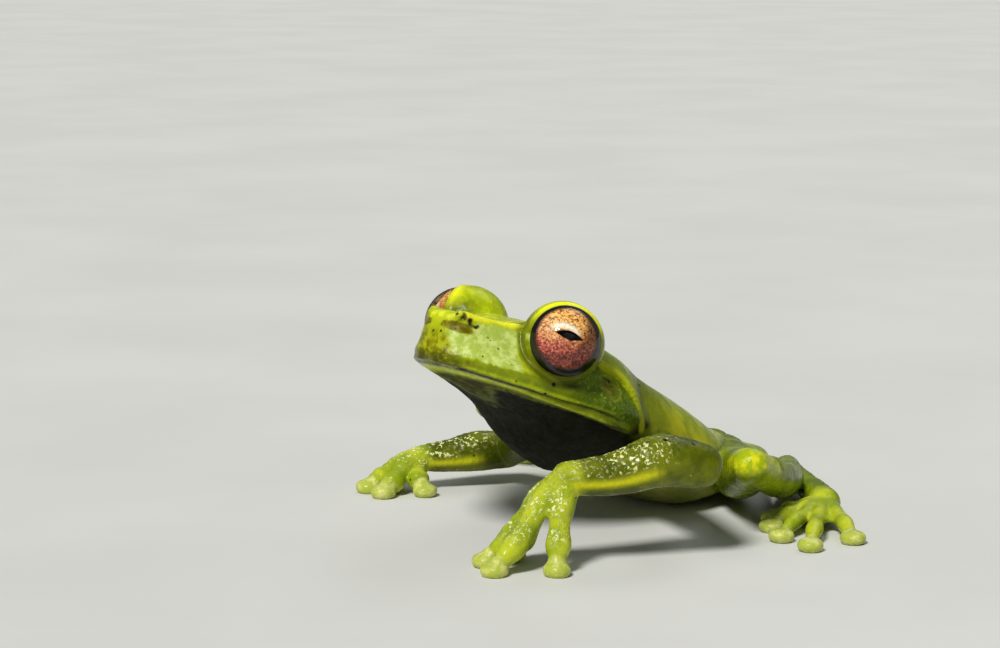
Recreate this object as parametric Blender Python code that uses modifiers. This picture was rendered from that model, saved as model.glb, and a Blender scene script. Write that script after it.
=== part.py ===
"""Green tree frog at rest with its head raised, at life size, in separate body parts."""

import math

import bmesh
import bpy
from mathutils import Matrix, Vector

MM = 0.001

# Driving sizes in millimetres and degrees; the frog faces -Y and its left side is +X
HEAD_TIP = Vector((0.0, -18.0, 15.0))
HEAD_PITCH = 22.6
BODY_YAW = -8.0
NAPE_Y = -3.0
MODEL_CENTRE = Vector((-2.57, 1.42, 0.0))

EYE_SIDE = 5.35
EYE_BACK = 8.75
EYE_UP = 3.8
EYE_AXIS = Vector((0.80, -0.59, 0.04))
LID_RADIUS = 3.15
EYE_RADIUS = 2.5
EYE_SHIFT = 0.94
LID_RIM_RADIUS = 2.86
LID_RIM_THICK = 0.2

GAP = 0.3
CREASE_REACH = 0.9
VOXEL = 0.17
WELD = 0.02
SMALLEST_PIECE = 60
MEND_ROUNDS = 4
SMOOTH_PASSES = 5

# Head stations: back from the tip, lip half width, ridge half width, ridge height, crown height,
# how far the cheek stands out of a straight side, jaw depth
HEAD_STATIONS = (
    (1.05, 0.85, 0.80, 2.60, 2.65, 0.10, 0.15),
    (1.35, 1.55, 1.35, 3.25, 3.30, 0.20, 0.25),
    (2.00, 2.50, 1.80, 3.66, 3.66, 0.25, 0.35),
    (3.30, 3.80, 2.30, 3.70, 3.68, 0.08, 0.55),
    (5.10, 5.15, 3.05, 3.85, 3.88, -0.12, 0.90),
    (7.00, 6.10, 3.90, 4.40, 4.60, -0.10, 1.30),
    (9.00, 6.80, 4.50, 4.60, 5.05, 0.00, 1.90),
    (10.8, 7.20, 4.80, 4.60, 5.20, 0.20, 2.80),
    (12.5, 7.45, 4.90, 4.40, 5.15, 0.40, 4.20),
    (15.0, 7.50, 4.90, 4.10, 4.95, 0.50, 5.00),
    (17.0, 7.00, 4.60, 3.80, 4.70, 0.50, 4.90),
    (19.5, 5.80, 3.90, 3.20, 4.20, 0.30, 4.30),
)

# Trunk stations: y, top, bottom, half width
TRUNK_STATIONS = (
    (-5.5, 11.6, 6.6, 4.4),
    (-3.5, 13.3, 5.1, 6.2),
    (0.0, 12.4, 3.3, 6.6),
    (3.8, 10.4, 1.2, 6.9),
    (6.5, 8.85, 0.0, 6.9),
    (9.0, 7.35, -0.2, 6.5),
    (12.3, 5.50, -0.2, 5.4),
    (15.5, 4.15, -0.2, 4.3),
    (18.5, 3.10, -0.1, 3.5),
    (21.0, 2.30, 0.4, 2.1),
)
TRUNK_MIDDLE = 0.42
TRUNK_POWER = 2.3

# Arms from shoulder to elbow to wrist, with radii, and the digits' joints down to their pads
PAD_RADIUS = 1.05
PAD_HEIGHT = 0.62
PAD_UP = 0.42
DIGIT_RADIUS = 0.85

LEFT_ARM = {
    "shoulder": (6.2, 0.9, 5.3),
    "elbow": (15.4, -4.0, 6.9),
    "wrist": (11.0, -13.0, 6.5),
    "arch": 0.65,
    "root": 0.22,
    "girth": 1.0,
}
RIGHT_ARM = {
    "shoulder": (-6.4, 0.6, 6.0),
    "elbow": (-13.4, 2.6, 2.7),
    "wrist": (-16.4, -4.6, 2.5),
    "arch": 0.2,
    "root": 0.4,
    "girth": 0.86,
}
UPPER_ARM_RADII = (1.9, 1.8, 1.65)
FOREARM_RADII = (1.65, 1.9, 1.55, 1.2)

LEFT_FINGERS = (
    ((9.4, -13.7, 4.9), (8.0, -14.6, 1.9), (6.9, -14.7, PAD_UP)),
    ((9.4, -14.0, 5.0), (8.2, -15.9, 2.1), (7.0, -17.4, PAD_UP)),
    ((10.0, -14.3, 5.0), (9.7, -16.9, 2.0), (9.5, -18.7, PAD_UP)),
    ((11.3, -13.9, 4.4), (11.8, -14.6, 2.0), (12.4, -15.3, PAD_UP)),
)
RIGHT_FINGERS = (
    ((-15.8, -5.2, 1.7), (-14.9, -5.6, 1.1), (-13.9, -5.8, PAD_UP)),
    ((-16.3, -6.2, 1.8), (-16.0, -7.4, 1.1), (-15.7, -8.7, PAD_UP)),
    ((-17.1, -6.2, 1.8), (-17.6, -7.3, 1.1), (-18.1, -8.3, PAD_UP)),
    ((-17.6, -5.2, 1.7), (-18.7, -5.5, 1.1), (-19.8, -5.7, PAD_UP)),
)

# Legs from hip to knee to heel to the foot's base; bow is the place that the thigh swings out to,
# and creases are the ends of the line, seen from above, where the thigh meets the flank
LEFT_LEG = {
    "hip": (-1.3, 15.5, 2.3),
    "bow": (6.2, 9.6, 3.0),
    "knee": (13.6, 3.2, 5.6),
    "calf": (9.5, 11.1, 2.7),
    "heel": (2.7, 18.8, 1.6),
    "sole": (12.2, 13.0, 1.15),
    "creases": ((6.0, 6.8), (2.4, 16.0)),
}
RIGHT_LEG = {
    "hip": (-3.6, 16.4, 2.3),
    "bow": (-11.0, 11.3, 3.0),
    "knee": (-18.2, 5.0, 5.6),
    "calf": (-15.0, 13.6, 2.7),
    "heel": (-9.2, 21.6, 1.6),
    "sole": (-18.1, 15.9, 1.15),
    "creases": ((-8.7, 9.9), (-7.3, 17.2)),
}
THIGH_RADII = (1.9, 2.05, 1.35)
SHANK_RADII = (1.35, 1.42, 1.0)
TARSUS_RADII = (1.0, 0.95, 1.2)
TOE_LENGTHS = (4.8, 6.8, 9.3, 11.5, 9.0)
TOE_RADIUS = 0.6
TOE_ARCH = 0.95
LEFT_TOE_TURNS = (-32.0, -14.0, 2.0, 17.0, 36.0)
RIGHT_TOE_TURNS = (30.0, 12.0, -2.0, -16.0, -34.0)
LEFT_TOE_HEADING = 20.0
RIGHT_TOE_HEADING = -14.0


def clear_scene():
    for item in list(bpy.data.objects):
        bpy.data.objects.remove(item, do_unlink=True)


def collection(name):
    made = bpy.data.collections.new(name)
    bpy.context.scene.collection.children.link(made)
    return made


def material(name, colour, roughness, metallic=0.0):
    made = bpy.data.materials.new(name)
    made.use_nodes = True
    shader = made.node_tree.nodes["Principled BSDF"]
    shader.inputs["Base Color"].default_value = (*colour, 1.0)
    shader.inputs["Roughness"].default_value = roughness
    shader.inputs["Metallic"].default_value = metallic
    return made


def new_object(name, mesh, group):
    made = bpy.data.objects.new(name, mesh)
    group.objects.link(made)
    return made


def mesh_object(name, form, group):
    """Turn a bmesh in millimetres into an object in metres."""
    bmesh.ops.recalc_face_normals(form, faces=form.faces)
    mesh = bpy.data.meshes.new(name)
    form.to_mesh(mesh)
    form.free()
    mesh.transform(Matrix.Scale(MM, 4))
    return new_object(name, mesh, group)


def smooth_rows(rows, steps):
    """Rows of numbers joined by an even curve that passes through each of them."""
    rows = [tuple(row) for row in rows]
    padded = [rows[0], *rows, rows[-1]]
    made = []
    for index in range(len(rows) - 1):
        before, start, end, after = padded[index : index + 4]
        for step in range(steps):
            t = step / steps
            made.append(
                tuple(
                    0.5
                    * (
                        2 * b
                        + (c - a) * t
                        + (2 * a - 5 * b + 4 * c - d) * t * t
                        + (3 * b - a - 3 * c + d) * t * t * t
                    )
                    for a, b, c, d in zip(before, start, end, after)
                )
            )
    made.append(rows[-1])
    return made


def head_point(across, back, up):
    """Place of a point given along the head: to its left, back from the tip, up from the mouth line."""
    pitch = math.radians(HEAD_PITCH)
    y = back * math.cos(pitch) + up * math.sin(pitch)
    z = up * math.cos(pitch) - back * math.sin(pitch)
    return HEAD_TIP + Vector((across, y, z))


def head_direction(across, back, up):
    return (head_point(across, back, up) - HEAD_TIP).normalized()


def trunk_centre(y):
    return math.tan(math.radians(BODY_YAW)) * max(y - NAPE_Y, 0.0)


def loft(name, rings, ends, group):
    """Closed skin over rings of points, drawn together to one point at each end."""
    form = bmesh.new()
    rows = [[form.verts.new(point) for point in ring] for ring in rings]
    count = len(rows[0])
    for low, high in zip(rows, rows[1:]):
        for index in range(count):
            after = (index + 1) % count
            form.faces.new((low[index], low[after], high[after], high[index]))
    for row, end in ((rows[0], ends[0]), (rows[-1], ends[1])):
        pole = form.verts.new(end)
        for index in range(count):
            form.faces.new((row[index], row[(index + 1) % count], pole))
    return mesh_object(name, form, group)


def head_ring(back, lip, ridge, ridge_up, crown, cheek, jaw):
    """Outline across the head: crown, ridge, cheek, lips, and the floor of the mouth."""
    half = (
        (0.0, crown),
        (ridge * 0.6, crown - 0.02),
        (ridge, ridge_up),
        ((ridge + lip) * 0.5 + cheek, ridge_up * 0.55),
        (lip + 0.02, min(0.95, ridge_up * 0.4)),
        (lip + 0.14, 0.35),
        (lip - 0.06, 0.0),
        (lip - 0.16, -0.3),
        (lip * 0.72, -0.25 - jaw * 0.42),
        (lip * 0.34, -0.1 - jaw * 0.84),
        (0.0, -jaw),
    )
    right = smooth_rows(half, 4)
    left = [(-x, z) for x, z in reversed(right[1:-1])]
    return [head_point(x, back, z) for x, z in right + left]


def head_form(group):
    stations = smooth_rows(HEAD_STATIONS, 4)
    rings = [head_ring(*station) for station in stations]
    front = head_point(0.0, HEAD_STATIONS[0][0] - 0.15, 1.3)
    rear = head_point(0.0, HEAD_STATIONS[-1][0] + 1.0, 0.4)
    return loft("head_form", rings, (front, rear), group)


def trunk_ring(y, top, bottom, half_width):
    middle = bottom + (top - bottom) * TRUNK_MIDDLE
    ring = []
    for index in range(40):
        turn = 2 * math.pi * index / 40
        x = math.copysign(abs(math.sin(turn)) ** (2 / TRUNK_POWER), math.sin(turn))
        z = math.copysign(abs(math.cos(turn)) ** (2 / TRUNK_POWER), math.cos(turn))
        height = top - middle if z > 0 else middle - bottom
        ring.append(Vector((trunk_centre(y) + half_width * x, y, middle + height * z)))
    return ring


def trunk_form(group):
    stations = smooth_rows(TRUNK_STATIONS, 4)
    rings = [trunk_ring(*station) for station in stations]
    first, last = TRUNK_STATIONS[0], TRUNK_STATIONS[-1]
    front = Vector((0.0, first[0] - 0.8, (first[1] + first[2]) / 2))
    rear = Vector((trunk_centre(last[0]), last[0] + 0.9, (last[1] + last[2]) / 2))
    return loft("trunk_form", rings, (front, rear), group)


def ball(name, centre, radii, group):
    form = bmesh.new()
    bmesh.ops.create_uvsphere(form, u_segments=24, v_segments=14, radius=1.0)
    place = Matrix.Translation(centre) @ Matrix.Diagonal((*radii, 1.0))
    bmesh.ops.transform(form, matrix=place, verts=form.verts)
    return mesh_object(name, form, group)


def ring_band(name, centre, axis, radius, thick, group):
    """A round rim, made as a circle curve with a round section."""
    curve = bpy.data.curves.new(name, "CURVE")
    curve.dimensions = "3D"
    curve.bevel_depth = thick * MM
    curve.bevel_resolution = 3
    spline = curve.splines.new("POLY")
    spline.points.add(39)
    turn = axis.to_track_quat("Z", "Y")
    for index, point in enumerate(spline.points):
        angle = 2 * math.pi * index / 40
        place = centre + turn @ Vector((math.cos(angle) * radius, math.sin(angle) * radius, 0.0))
        point.co = (*(place * MM), 1.0)
    spline.use_cyclic_u = True
    return curve_to_mesh(bpy.data.objects.new(name, curve), group)


def curve_to_mesh(item, group):
    group.objects.link(item)
    bpy.context.view_layer.update()
    shape = item.evaluated_get(bpy.context.evaluated_depsgraph_get())
    mesh = bpy.data.meshes.new_from_object(shape)
    form = bmesh.new()
    form.from_mesh(mesh)
    bmesh.ops.remove_doubles(form, verts=form.verts, dist=0.00001)
    bmesh.ops.recalc_face_normals(form, faces=form.faces)
    form.to_mesh(mesh)
    form.free()
    name = item.name
    curve = item.data
    bpy.data.objects.remove(item, do_unlink=True)
    bpy.data.curves.remove(curve)
    return new_object(name, mesh, group)


def limb(name, points, radii, group, steps=6):
    """A tapering limb along a smooth path, with round ends."""
    path = smooth_rows([(*point, radius) for point, radius in zip(points, radii)], steps)
    curve = bpy.data.curves.new(name, "CURVE")
    curve.dimensions = "3D"
    curve.bevel_depth = MM
    curve.bevel_resolution = 4
    curve.use_fill_caps = True
    spline = curve.splines.new("POLY")
    spline.points.add(len(path) - 1)
    for point, (x, y, z, radius) in zip(spline.points, path):
        point.co = (x * MM, y * MM, z * MM, 1.0)
        point.radius = radius
    made = [curve_to_mesh(bpy.data.objects.new(name, curve), group)]
    for end, (place, radius) in enumerate(((points[0], radii[0]), (points[-1], radii[-1]))):
        made.append(ball(f"{name}_end_{end}", Vector(place), (radius,) * 3, group))
    return made


def middle_of(start, end, share=0.5):
    return tuple(a + (b - a) * share for a, b in zip(start, end))


def digit(name, root, joints, radius, group):
    """A finger or toe with its round pad, flat enough to be trimmed at the floor."""
    points = (root, *joints)
    radii = (radius * 1.15, radius * 1.1, radius * 0.95, radius * 0.85)
    made = limb(name, points, radii[: len(points)], group)
    pad = (PAD_RADIUS, PAD_RADIUS, PAD_HEIGHT)
    made.append(ball(f"{name}_pad", Vector(joints[-1]), pad, group))
    return made


def forearm_path(arm):
    """Elbow to wrist, arched up where the muscle is thickest."""
    elbow, wrist = arm["elbow"], arm["wrist"]
    x, y, z = middle_of(elbow, wrist, 0.3)
    return (elbow, (x, y, z + arm["arch"]), middle_of(elbow, wrist, 0.65), wrist)


def arm_forms(side, arm, fingers, group):
    shoulder, elbow, wrist = arm["shoulder"], arm["elbow"], arm["wrist"]
    upper = (shoulder, middle_of(shoulder, elbow), elbow)
    upper_radii = [radius * arm["girth"] for radius in UPPER_ARM_RADII]
    made = limb(f"upper_{side}", upper, upper_radii, group)
    fore_radii = [radius * arm["girth"] for radius in FOREARM_RADII]
    made += limb(f"fore_{side}", forearm_path(arm), fore_radii, group)
    for index, joints in enumerate(fingers):
        made += digit(f"finger_{side}_{index}", wrist, joints, DIGIT_RADIUS, group)
    return made


def toe_joints(sole, length, turn):
    """A toe's arch, knuckle and pad, in the direction that it points, turned from straight ahead."""
    angle = math.radians(turn)
    ahead = Vector((math.sin(angle), -math.cos(angle), 0.0))
    base = Vector(sole)
    return tuple(
        tuple(Vector((base.x, base.y, height)) + ahead * length * share)
        for share, height in ((0.35, TOE_ARCH + 0.1), (0.72, TOE_ARCH), (1.0, PAD_UP))
    )


def leg_forms(side, leg, heading, turns, group):
    made = limb(f"thigh_{side}", (leg["hip"], leg["bow"], leg["knee"]), THIGH_RADII, group)
    made += limb(f"shank_{side}", (leg["knee"], leg["calf"], leg["heel"]), SHANK_RADII, group)
    tarsus = (leg["heel"], middle_of(leg["heel"], leg["sole"]), leg["sole"])
    made += limb(f"tarsus_{side}", tarsus, TARSUS_RADII, group)
    for index, (length, turn) in enumerate(zip(TOE_LENGTHS, turns)):
        joints = toe_joints(leg["sole"], length, heading + turn)
        made += digit(f"toe_{side}_{index}", leg["sole"], joints, TOE_RADIUS, group)
    return made


def eye_place(side):
    return head_point(EYE_SIDE * side, EYE_BACK, EYE_UP)


def eye_axis(side):
    return head_direction(EYE_AXIS.x * side, EYE_AXIS.y, EYE_AXIS.z)


def eyelid_forms(side, group):
    """The lid's dome over one eye and the raised rim round its opening."""
    name = "left" if side > 0 else "right"
    centre = eye_place(side)
    rim_at = math.sqrt(LID_RADIUS**2 - LID_RIM_RADIUS**2)
    return [
        ball(f"lid_{name}", centre, (LID_RADIUS,) * 3, group),
        ring_band(
            f"lid_rim_{name}",
            centre + eye_axis(side) * rim_at,
            eye_axis(side),
            LID_RIM_RADIUS,
            LID_RIM_THICK,
            group,
        ),
    ]


def face_forms(side, group):
    """Nostril mound, ear drum's ring and the fold that runs from the eye to the arm."""
    name = "left" if side > 0 else "right"
    fold = [
        head_point(across * side, back, up)
        for across, back, up in (
            (5.7, 11.6, 4.0),
            (6.1, 13.2, 3.4),
            (6.6, 15.2, 2.6),
            (6.75, 16.5, 1.4),
            (6.7, 17.4, 0.0),
        )
    ]
    made = limb(f"fold_{name}", [tuple(point) for point in fold], (0.36, 0.42, 0.46, 0.42, 0.36), group)
    drum = head_point(7.06 * side, 13.7, 1.7)
    facing = head_direction(side, 0.0, 0.35)
    made.append(ring_band(f"drum_{name}", drum, facing, 0.85, 0.27, group))
    nostril = head_point(1.45 * side, 1.95, 3.2)
    made.append(ball(f"nostril_{name}", nostril, (0.55,) * 3, group))
    return made


def joined(name, pieces, group):
    """One object with all the pieces' faces, still overlapping."""
    form = bmesh.new()
    for piece in pieces:
        form.from_mesh(piece.data)
        bpy.data.objects.remove(piece, do_unlink=True)
    mesh = bpy.data.meshes.new(name)
    form.to_mesh(mesh)
    form.free()
    return new_object(name, mesh, group)


def applied(item):
    """The object's evaluated mesh in place of its modifiers."""
    bpy.context.view_layer.update()
    shape = item.evaluated_get(bpy.context.evaluated_depsgraph_get())
    mesh = bpy.data.meshes.new_from_object(shape)
    item.modifiers.clear()
    item.data = mesh
    return item


def fuse(item):
    remesh = item.modifiers.new("fuse", "REMESH")
    remesh.mode = "VOXEL"
    remesh.voxel_size = VOXEL * MM
    remesh.use_smooth_shade = True
    smooth = item.modifiers.new("soften", "SMOOTH")
    smooth.factor = 0.5
    smooth.iterations = SMOOTH_PASSES
    return applied(item)


def slab(name, centre, normal, along, back, front, height, group, thick=GAP):
    """A thin flat cutter through a joint, reaching back and front of it along its own line."""
    normal = Vector(normal).normalized()
    along = (Vector(along) - normal * Vector(along).dot(normal)).normalized()
    upward = normal.cross(along)
    middle = Vector(centre) + along * (front - back) / 2
    form = bmesh.new()
    bmesh.ops.create_cube(form, size=1.0)
    turn = Matrix((along, upward, normal)).transposed().to_4x4()
    size = Matrix.Diagonal((front + back, height * 2, thick, 1.0))
    bmesh.ops.transform(form, matrix=Matrix.Translation(middle) @ turn @ size, verts=form.verts)
    return mesh_object(name, form, group)


def bend_slab(name, before, joint, after, back, front, height, group):
    """A cutter that halves the bend at a joint; back is its reach on the bend's inner side."""
    come = (Vector(joint) - Vector(before)).normalized()
    leave = (Vector(after) - Vector(joint)).normalized()
    inner = leave - come
    return slab(name, joint, come + leave, -inner, back, front, height, group)


def joint_cutters(group):
    made = []
    for side, arm, fingers in (
        ("left", LEFT_ARM, LEFT_FINGERS),
        ("right", RIGHT_ARM, RIGHT_FINGERS),
    ):
        shoulder, elbow, wrist = arm["shoulder"], arm["elbow"], arm["wrist"]
        palm = middle_of(fingers[1][0], fingers[3][0])
        root = middle_of(shoulder, elbow, arm["root"])
        direction = Vector(elbow) - Vector(shoulder)
        made.append(slab(f"cut_shoulder_{side}", root, direction, (0, 0, 1), 2.8, 2.8, 2.8, group))
        made.append(bend_slab(f"cut_elbow_{side}", shoulder, elbow, wrist, 3.2, 3.2, 3.0, group))
        made.append(bend_slab(f"cut_wrist_{side}", elbow, wrist, palm, 2.2, 2.2, 2.4, group))
    for side, leg in (("left", LEFT_LEG), ("right", RIGHT_LEG)):
        front, rear = (Vector((*crease, leg["bow"][2])) for crease in leg["creases"])
        half = (front - rear).length / 2 + CREASE_REACH
        outward = (front - rear).cross(Vector((0, 0, 1)))
        made.append(slab(f"cut_hip_{side}", (front + rear) / 2, outward, front - rear, half, half, 4.0, group))
        knee = (leg["bow"], leg["knee"], leg["calf"])
        made.append(bend_slab(f"cut_knee_{side}", *knee, 15.0, 3.0, 3.0, group))
        heel = (leg["calf"], leg["heel"], leg["sole"])
        made.append(bend_slab(f"cut_heel_{side}", *heel, 10.5, 2.6, 2.4, group))
        ahead = Vector(leg["sole"]) - Vector(leg["heel"])
        across = ahead.cross(Vector((0, 0, 1)))
        sole = Vector(leg["sole"]) - ahead.normalized() * 0.9
        made.append(slab(f"cut_sole_{side}", sole, ahead, across, 2.4, 2.4, 2.6, group))
    return made


def head_cutters(group):
    """The neck's cut, the line of the mouth, the sockets and the nostrils."""
    neck = head_point(0.0, 16.4, 0.0)
    neck_normal = head_direction(0.0, 1.0, -0.3)
    made = [slab("cut_neck", neck, neck_normal, (1, 0, 0), 8.2, 8.2, 9.0, group)]
    mouth = head_point(0.0, 7.5, -0.15)
    mouth_normal = head_direction(0.0, 0.0, 1.0)
    made.append(slab("cut_mouth", mouth, mouth_normal, (1, 0, 0), 9.0, 9.0, 9.05, group))
    for side in (1, -1):
        socket = eye_place(side) + eye_axis(side) * EYE_SHIFT
        radius = EYE_RADIUS + GAP
        made.append(ball(f"cut_socket_{side}", socket, (radius,) * 3, group))
        nostril = head_point(1.95 * side, 1.85, 3.45)
        made.append(ball(f"cut_nostril_{side}", nostril, (0.3, 0.3, 0.3), group))
    return made


def cut(item, cutters, group_name):
    group = bpy.data.collections[group_name]
    modifier = item.modifiers.new("part", "BOOLEAN")
    modifier.operation = "DIFFERENCE"
    modifier.operand_type = "COLLECTION"
    modifier.collection = group
    modifier.solver = "EXACT"
    applied(item)
    for cutter in cutters:
        bpy.data.objects.remove(cutter, do_unlink=True)
    return item


def loose_parts(mesh):
    """The mesh's separate surfaces, each as a bmesh."""
    form = bmesh.new()
    form.from_mesh(mesh)
    form.faces.ensure_lookup_table()
    seen = set()
    made = []
    for face in form.faces:
        if face.index in seen:
            continue
        stack = [face]
        seen.add(face.index)
        found = []
        while stack:
            current = stack.pop()
            found.append(current.index)
            for edge in current.edges:
                for other in edge.link_faces:
                    if other.index not in seen:
                        seen.add(other.index)
                        stack.append(other)
        made.append(found)
    form.free()
    return sorted(made, key=len, reverse=True)


def part_mesh(mesh, faces, name):
    form = bmesh.new()
    form.from_mesh(mesh)
    form.faces.ensure_lookup_table()
    keep = set(faces)
    drop = [face for face in form.faces if face.index not in keep]
    bmesh.ops.delete(form, geom=drop, context="FACES")
    made = bpy.data.meshes.new(name)
    form.to_mesh(made)
    form.free()
    return made


def seeds():
    """A place inside each part of the body, its pivot, and the triangles it may have."""
    made = {
        "head": (head_point(0, 7.0, 2.2), head_point(0, 16.4, 0), 3400),
        "lower_jaw": (head_point(0, 11.0, -1.6), head_point(0, 15.5, -0.2), 800),
        "torso": (Vector((-1.0, 6.0, 4.0)), Vector((-1.0, 6.0, 4.0)), 1200),
    }
    for side, arm, fingers in (
        ("left", LEFT_ARM, LEFT_FINGERS),
        ("right", RIGHT_ARM, RIGHT_FINGERS),
    ):
        shoulder, elbow, wrist = arm["shoulder"], arm["elbow"], arm["wrist"]
        made[f"upper_arm_{side}"] = (Vector(middle_of(shoulder, elbow, 0.6)), Vector(shoulder), 220)
        made[f"forearm_{side}"] = (Vector(middle_of(elbow, wrist)), Vector(elbow), 260)
        made[f"hand_{side}"] = (Vector(fingers[2][0]), Vector(wrist), 640)
    for side, leg in (("left", LEFT_LEG), ("right", RIGHT_LEG)):
        thigh = Vector(middle_of(leg["bow"], leg["knee"], 0.3))
        shank = Vector(middle_of(leg["calf"], leg["heel"], 0.2))
        tarsus = Vector(middle_of(leg["heel"], leg["sole"]))
        made[f"thigh_{side}"] = (thigh, Vector(leg["hip"]), 300)
        made[f"shank_{side}"] = (shank, Vector(leg["knee"]), 260)
        made[f"tarsus_{side}"] = (tarsus, Vector(leg["heel"]), 180)
        made[f"foot_{side}"] = (Vector(leg["sole"]), Vector(leg["sole"]), 700)
    return made


def centre_of(mesh, faces):
    total = Vector((0.0, 0.0, 0.0))
    for index in faces:
        total += mesh.polygons[index].center
    return total / len(faces) / MM


def parted(whole, group):
    """Name each closed piece of the cut body after the place that lies nearest its middle."""
    mesh = whole.data
    pieces = [faces for faces in loose_parts(mesh) if len(faces) > SMALLEST_PIECE]
    made = {}
    for name, (place, pivot, budget) in seeds().items():
        faces = min(pieces, key=lambda found: (centre_of(mesh, found) - place).length)
        pieces.remove(faces)
        item = new_object(name, part_mesh(mesh, faces, name), group)
        made[name] = (item, pivot, budget)
    bpy.data.objects.remove(whole, do_unlink=True)
    return made


def thin(item, budget):
    """Fewer triangles, kept where the form bends most."""
    count = sum(len(face.vertices) - 2 for face in item.data.polygons)
    decimate = item.modifiers.new("thin", "DECIMATE")
    decimate.ratio = min(1.0, budget / count)
    decimate.use_collapse_triangulate = True
    return applied(item)


def mend(item):
    """Join points that nearly meet, and close what that leaves open."""
    form = bmesh.new()
    form.from_mesh(item.data)
    bmesh.ops.remove_doubles(form, verts=form.verts, dist=WELD * MM)
    bmesh.ops.dissolve_degenerate(form, edges=form.edges, dist=WELD * MM / 4)
    for _ in range(MEND_ROUNDS):
        crowded = [
            face for face in form.faces if any(len(edge.link_faces) > 2 for edge in face.edges)
        ]
        bmesh.ops.delete(form, geom=crowded, context="FACES")
        rim = [edge for edge in form.edges if len(edge.link_faces) == 1]
        if not rim:
            break
        bmesh.ops.holes_fill(form, edges=rim, sides=0)
        bmesh.ops.triangulate(form, faces=form.faces)
    stray = [vert for vert in form.verts if not vert.link_faces]
    bmesh.ops.delete(form, geom=stray, context="VERTS")
    form.to_mesh(item.data)
    form.free()


def trim_floor(item):
    """Cut what reaches below the floor, which leaves a small flat."""
    form = bmesh.new()
    form.from_mesh(item.data)
    geometry = form.verts[:] + form.edges[:] + form.faces[:]
    cut_line = bmesh.ops.bisect_plane(
        form,
        geom=geometry,
        dist=0.000001,
        plane_co=(0, 0, 0),
        plane_no=(0, 0, 1),
        clear_inner=True,
    )["geom_cut"]
    edges = [part for part in cut_line if isinstance(part, bmesh.types.BMEdge)]
    if edges:
        bmesh.ops.holes_fill(form, edges=edges, sides=0)
    bmesh.ops.triangulate(form, faces=form.faces)
    form.to_mesh(item.data)
    form.free()


def stand(item, pivot, root, finish):
    """Put the part's origin at its pivot, under the frog's own empty."""
    centred = pivot - MODEL_CENTRE
    item.data.transform(Matrix.Translation(-pivot * MM))
    item.parent = root
    item.location = centred * MM
    item.data.shade_smooth()
    item.data.set_sharp_from_angle(angle=math.radians(50))
    item.data.materials.clear()
    item.data.materials.append(finish)


def eye_ball(side, group):
    name = "eye_left" if side > 0 else "eye_right"
    place = eye_place(side) + eye_axis(side) * EYE_SHIFT
    return ball(name, place, (EYE_RADIUS,) * 3, group), place


def build():
    clear_scene()
    frog = collection("tree_frog")
    forms = collection("forms")
    cutters = collection("cutters")
    root = bpy.data.objects.new("frog_stance", None)
    frog.objects.link(root)

    pieces = [head_form(forms), trunk_form(forms)]
    for side in (1, -1):
        pieces += eyelid_forms(side, forms)
        pieces += face_forms(side, forms)
    pieces += arm_forms("left", LEFT_ARM, LEFT_FINGERS, forms)
    pieces += arm_forms("right", RIGHT_ARM, RIGHT_FINGERS, forms)
    pieces += leg_forms("left", LEFT_LEG, LEFT_TOE_HEADING, LEFT_TOE_TURNS, forms)
    pieces += leg_forms("right", RIGHT_LEG, RIGHT_TOE_HEADING, RIGHT_TOE_TURNS, forms)
    whole = fuse(joined("whole", pieces, forms))
    cut(whole, joint_cutters(cutters) + head_cutters(cutters), "cutters")

    skin = material("frog_skin", (0.22, 0.34, 0.03), 0.28)
    throat = material("throat_skin", (0.06, 0.09, 0.02), 0.35)
    iris = material("eye_surface", (0.62, 0.24, 0.08), 0.08)
    for name, (item, pivot, budget) in parted(whole, frog).items():
        thin(item, budget)
        mend(item)
        trim_floor(item)
        stand(item, pivot, root, throat if name == "lower_jaw" else skin)
    for side in (1, -1):
        item, place = eye_ball(side, frog)
        stand(item, place, root, iris)


build()
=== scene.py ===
"""Green tree frog at rest with its head raised: one wet skin, two eyes, on a plain pale floor."""

import math

import bmesh
import bpy
import numpy as np
from mathutils import Matrix, Vector


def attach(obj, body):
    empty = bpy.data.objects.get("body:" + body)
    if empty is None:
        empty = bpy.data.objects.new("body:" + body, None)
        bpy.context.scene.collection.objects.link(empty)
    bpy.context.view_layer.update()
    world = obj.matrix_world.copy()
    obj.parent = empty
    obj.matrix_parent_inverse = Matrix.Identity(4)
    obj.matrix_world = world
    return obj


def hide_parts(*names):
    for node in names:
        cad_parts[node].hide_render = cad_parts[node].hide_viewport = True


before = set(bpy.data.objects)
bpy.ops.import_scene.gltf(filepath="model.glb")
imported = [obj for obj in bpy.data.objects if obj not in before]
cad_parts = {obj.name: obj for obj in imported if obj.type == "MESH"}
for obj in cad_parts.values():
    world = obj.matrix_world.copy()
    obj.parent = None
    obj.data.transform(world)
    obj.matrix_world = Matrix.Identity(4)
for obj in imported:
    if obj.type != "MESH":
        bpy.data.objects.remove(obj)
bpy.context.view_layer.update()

MM = 0.001

# Driving sizes in millimetres and degrees, shared with the solids; the frog faces -Y, its left is +X
HEAD_TIP = Vector((0.0, -18.0, 15.0))
HEAD_PITCH = 22.6
BODY_YAW = -8.0
NAPE_Y = -3.0
MODEL_CENTRE = Vector((-2.57, 1.42, 0.0))

EYE_SIDE = 5.35
EYE_BACK = 8.75
EYE_UP = 3.8
EYE_AXIS = Vector((0.80, -0.59, 0.04))
LID_RADIUS = 3.15
LID_RIM_RADIUS = 2.86
LID_RIM_PROUD = 0.07

VOXEL = 0.1
SMOOTH_PASSES = 12

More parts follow.
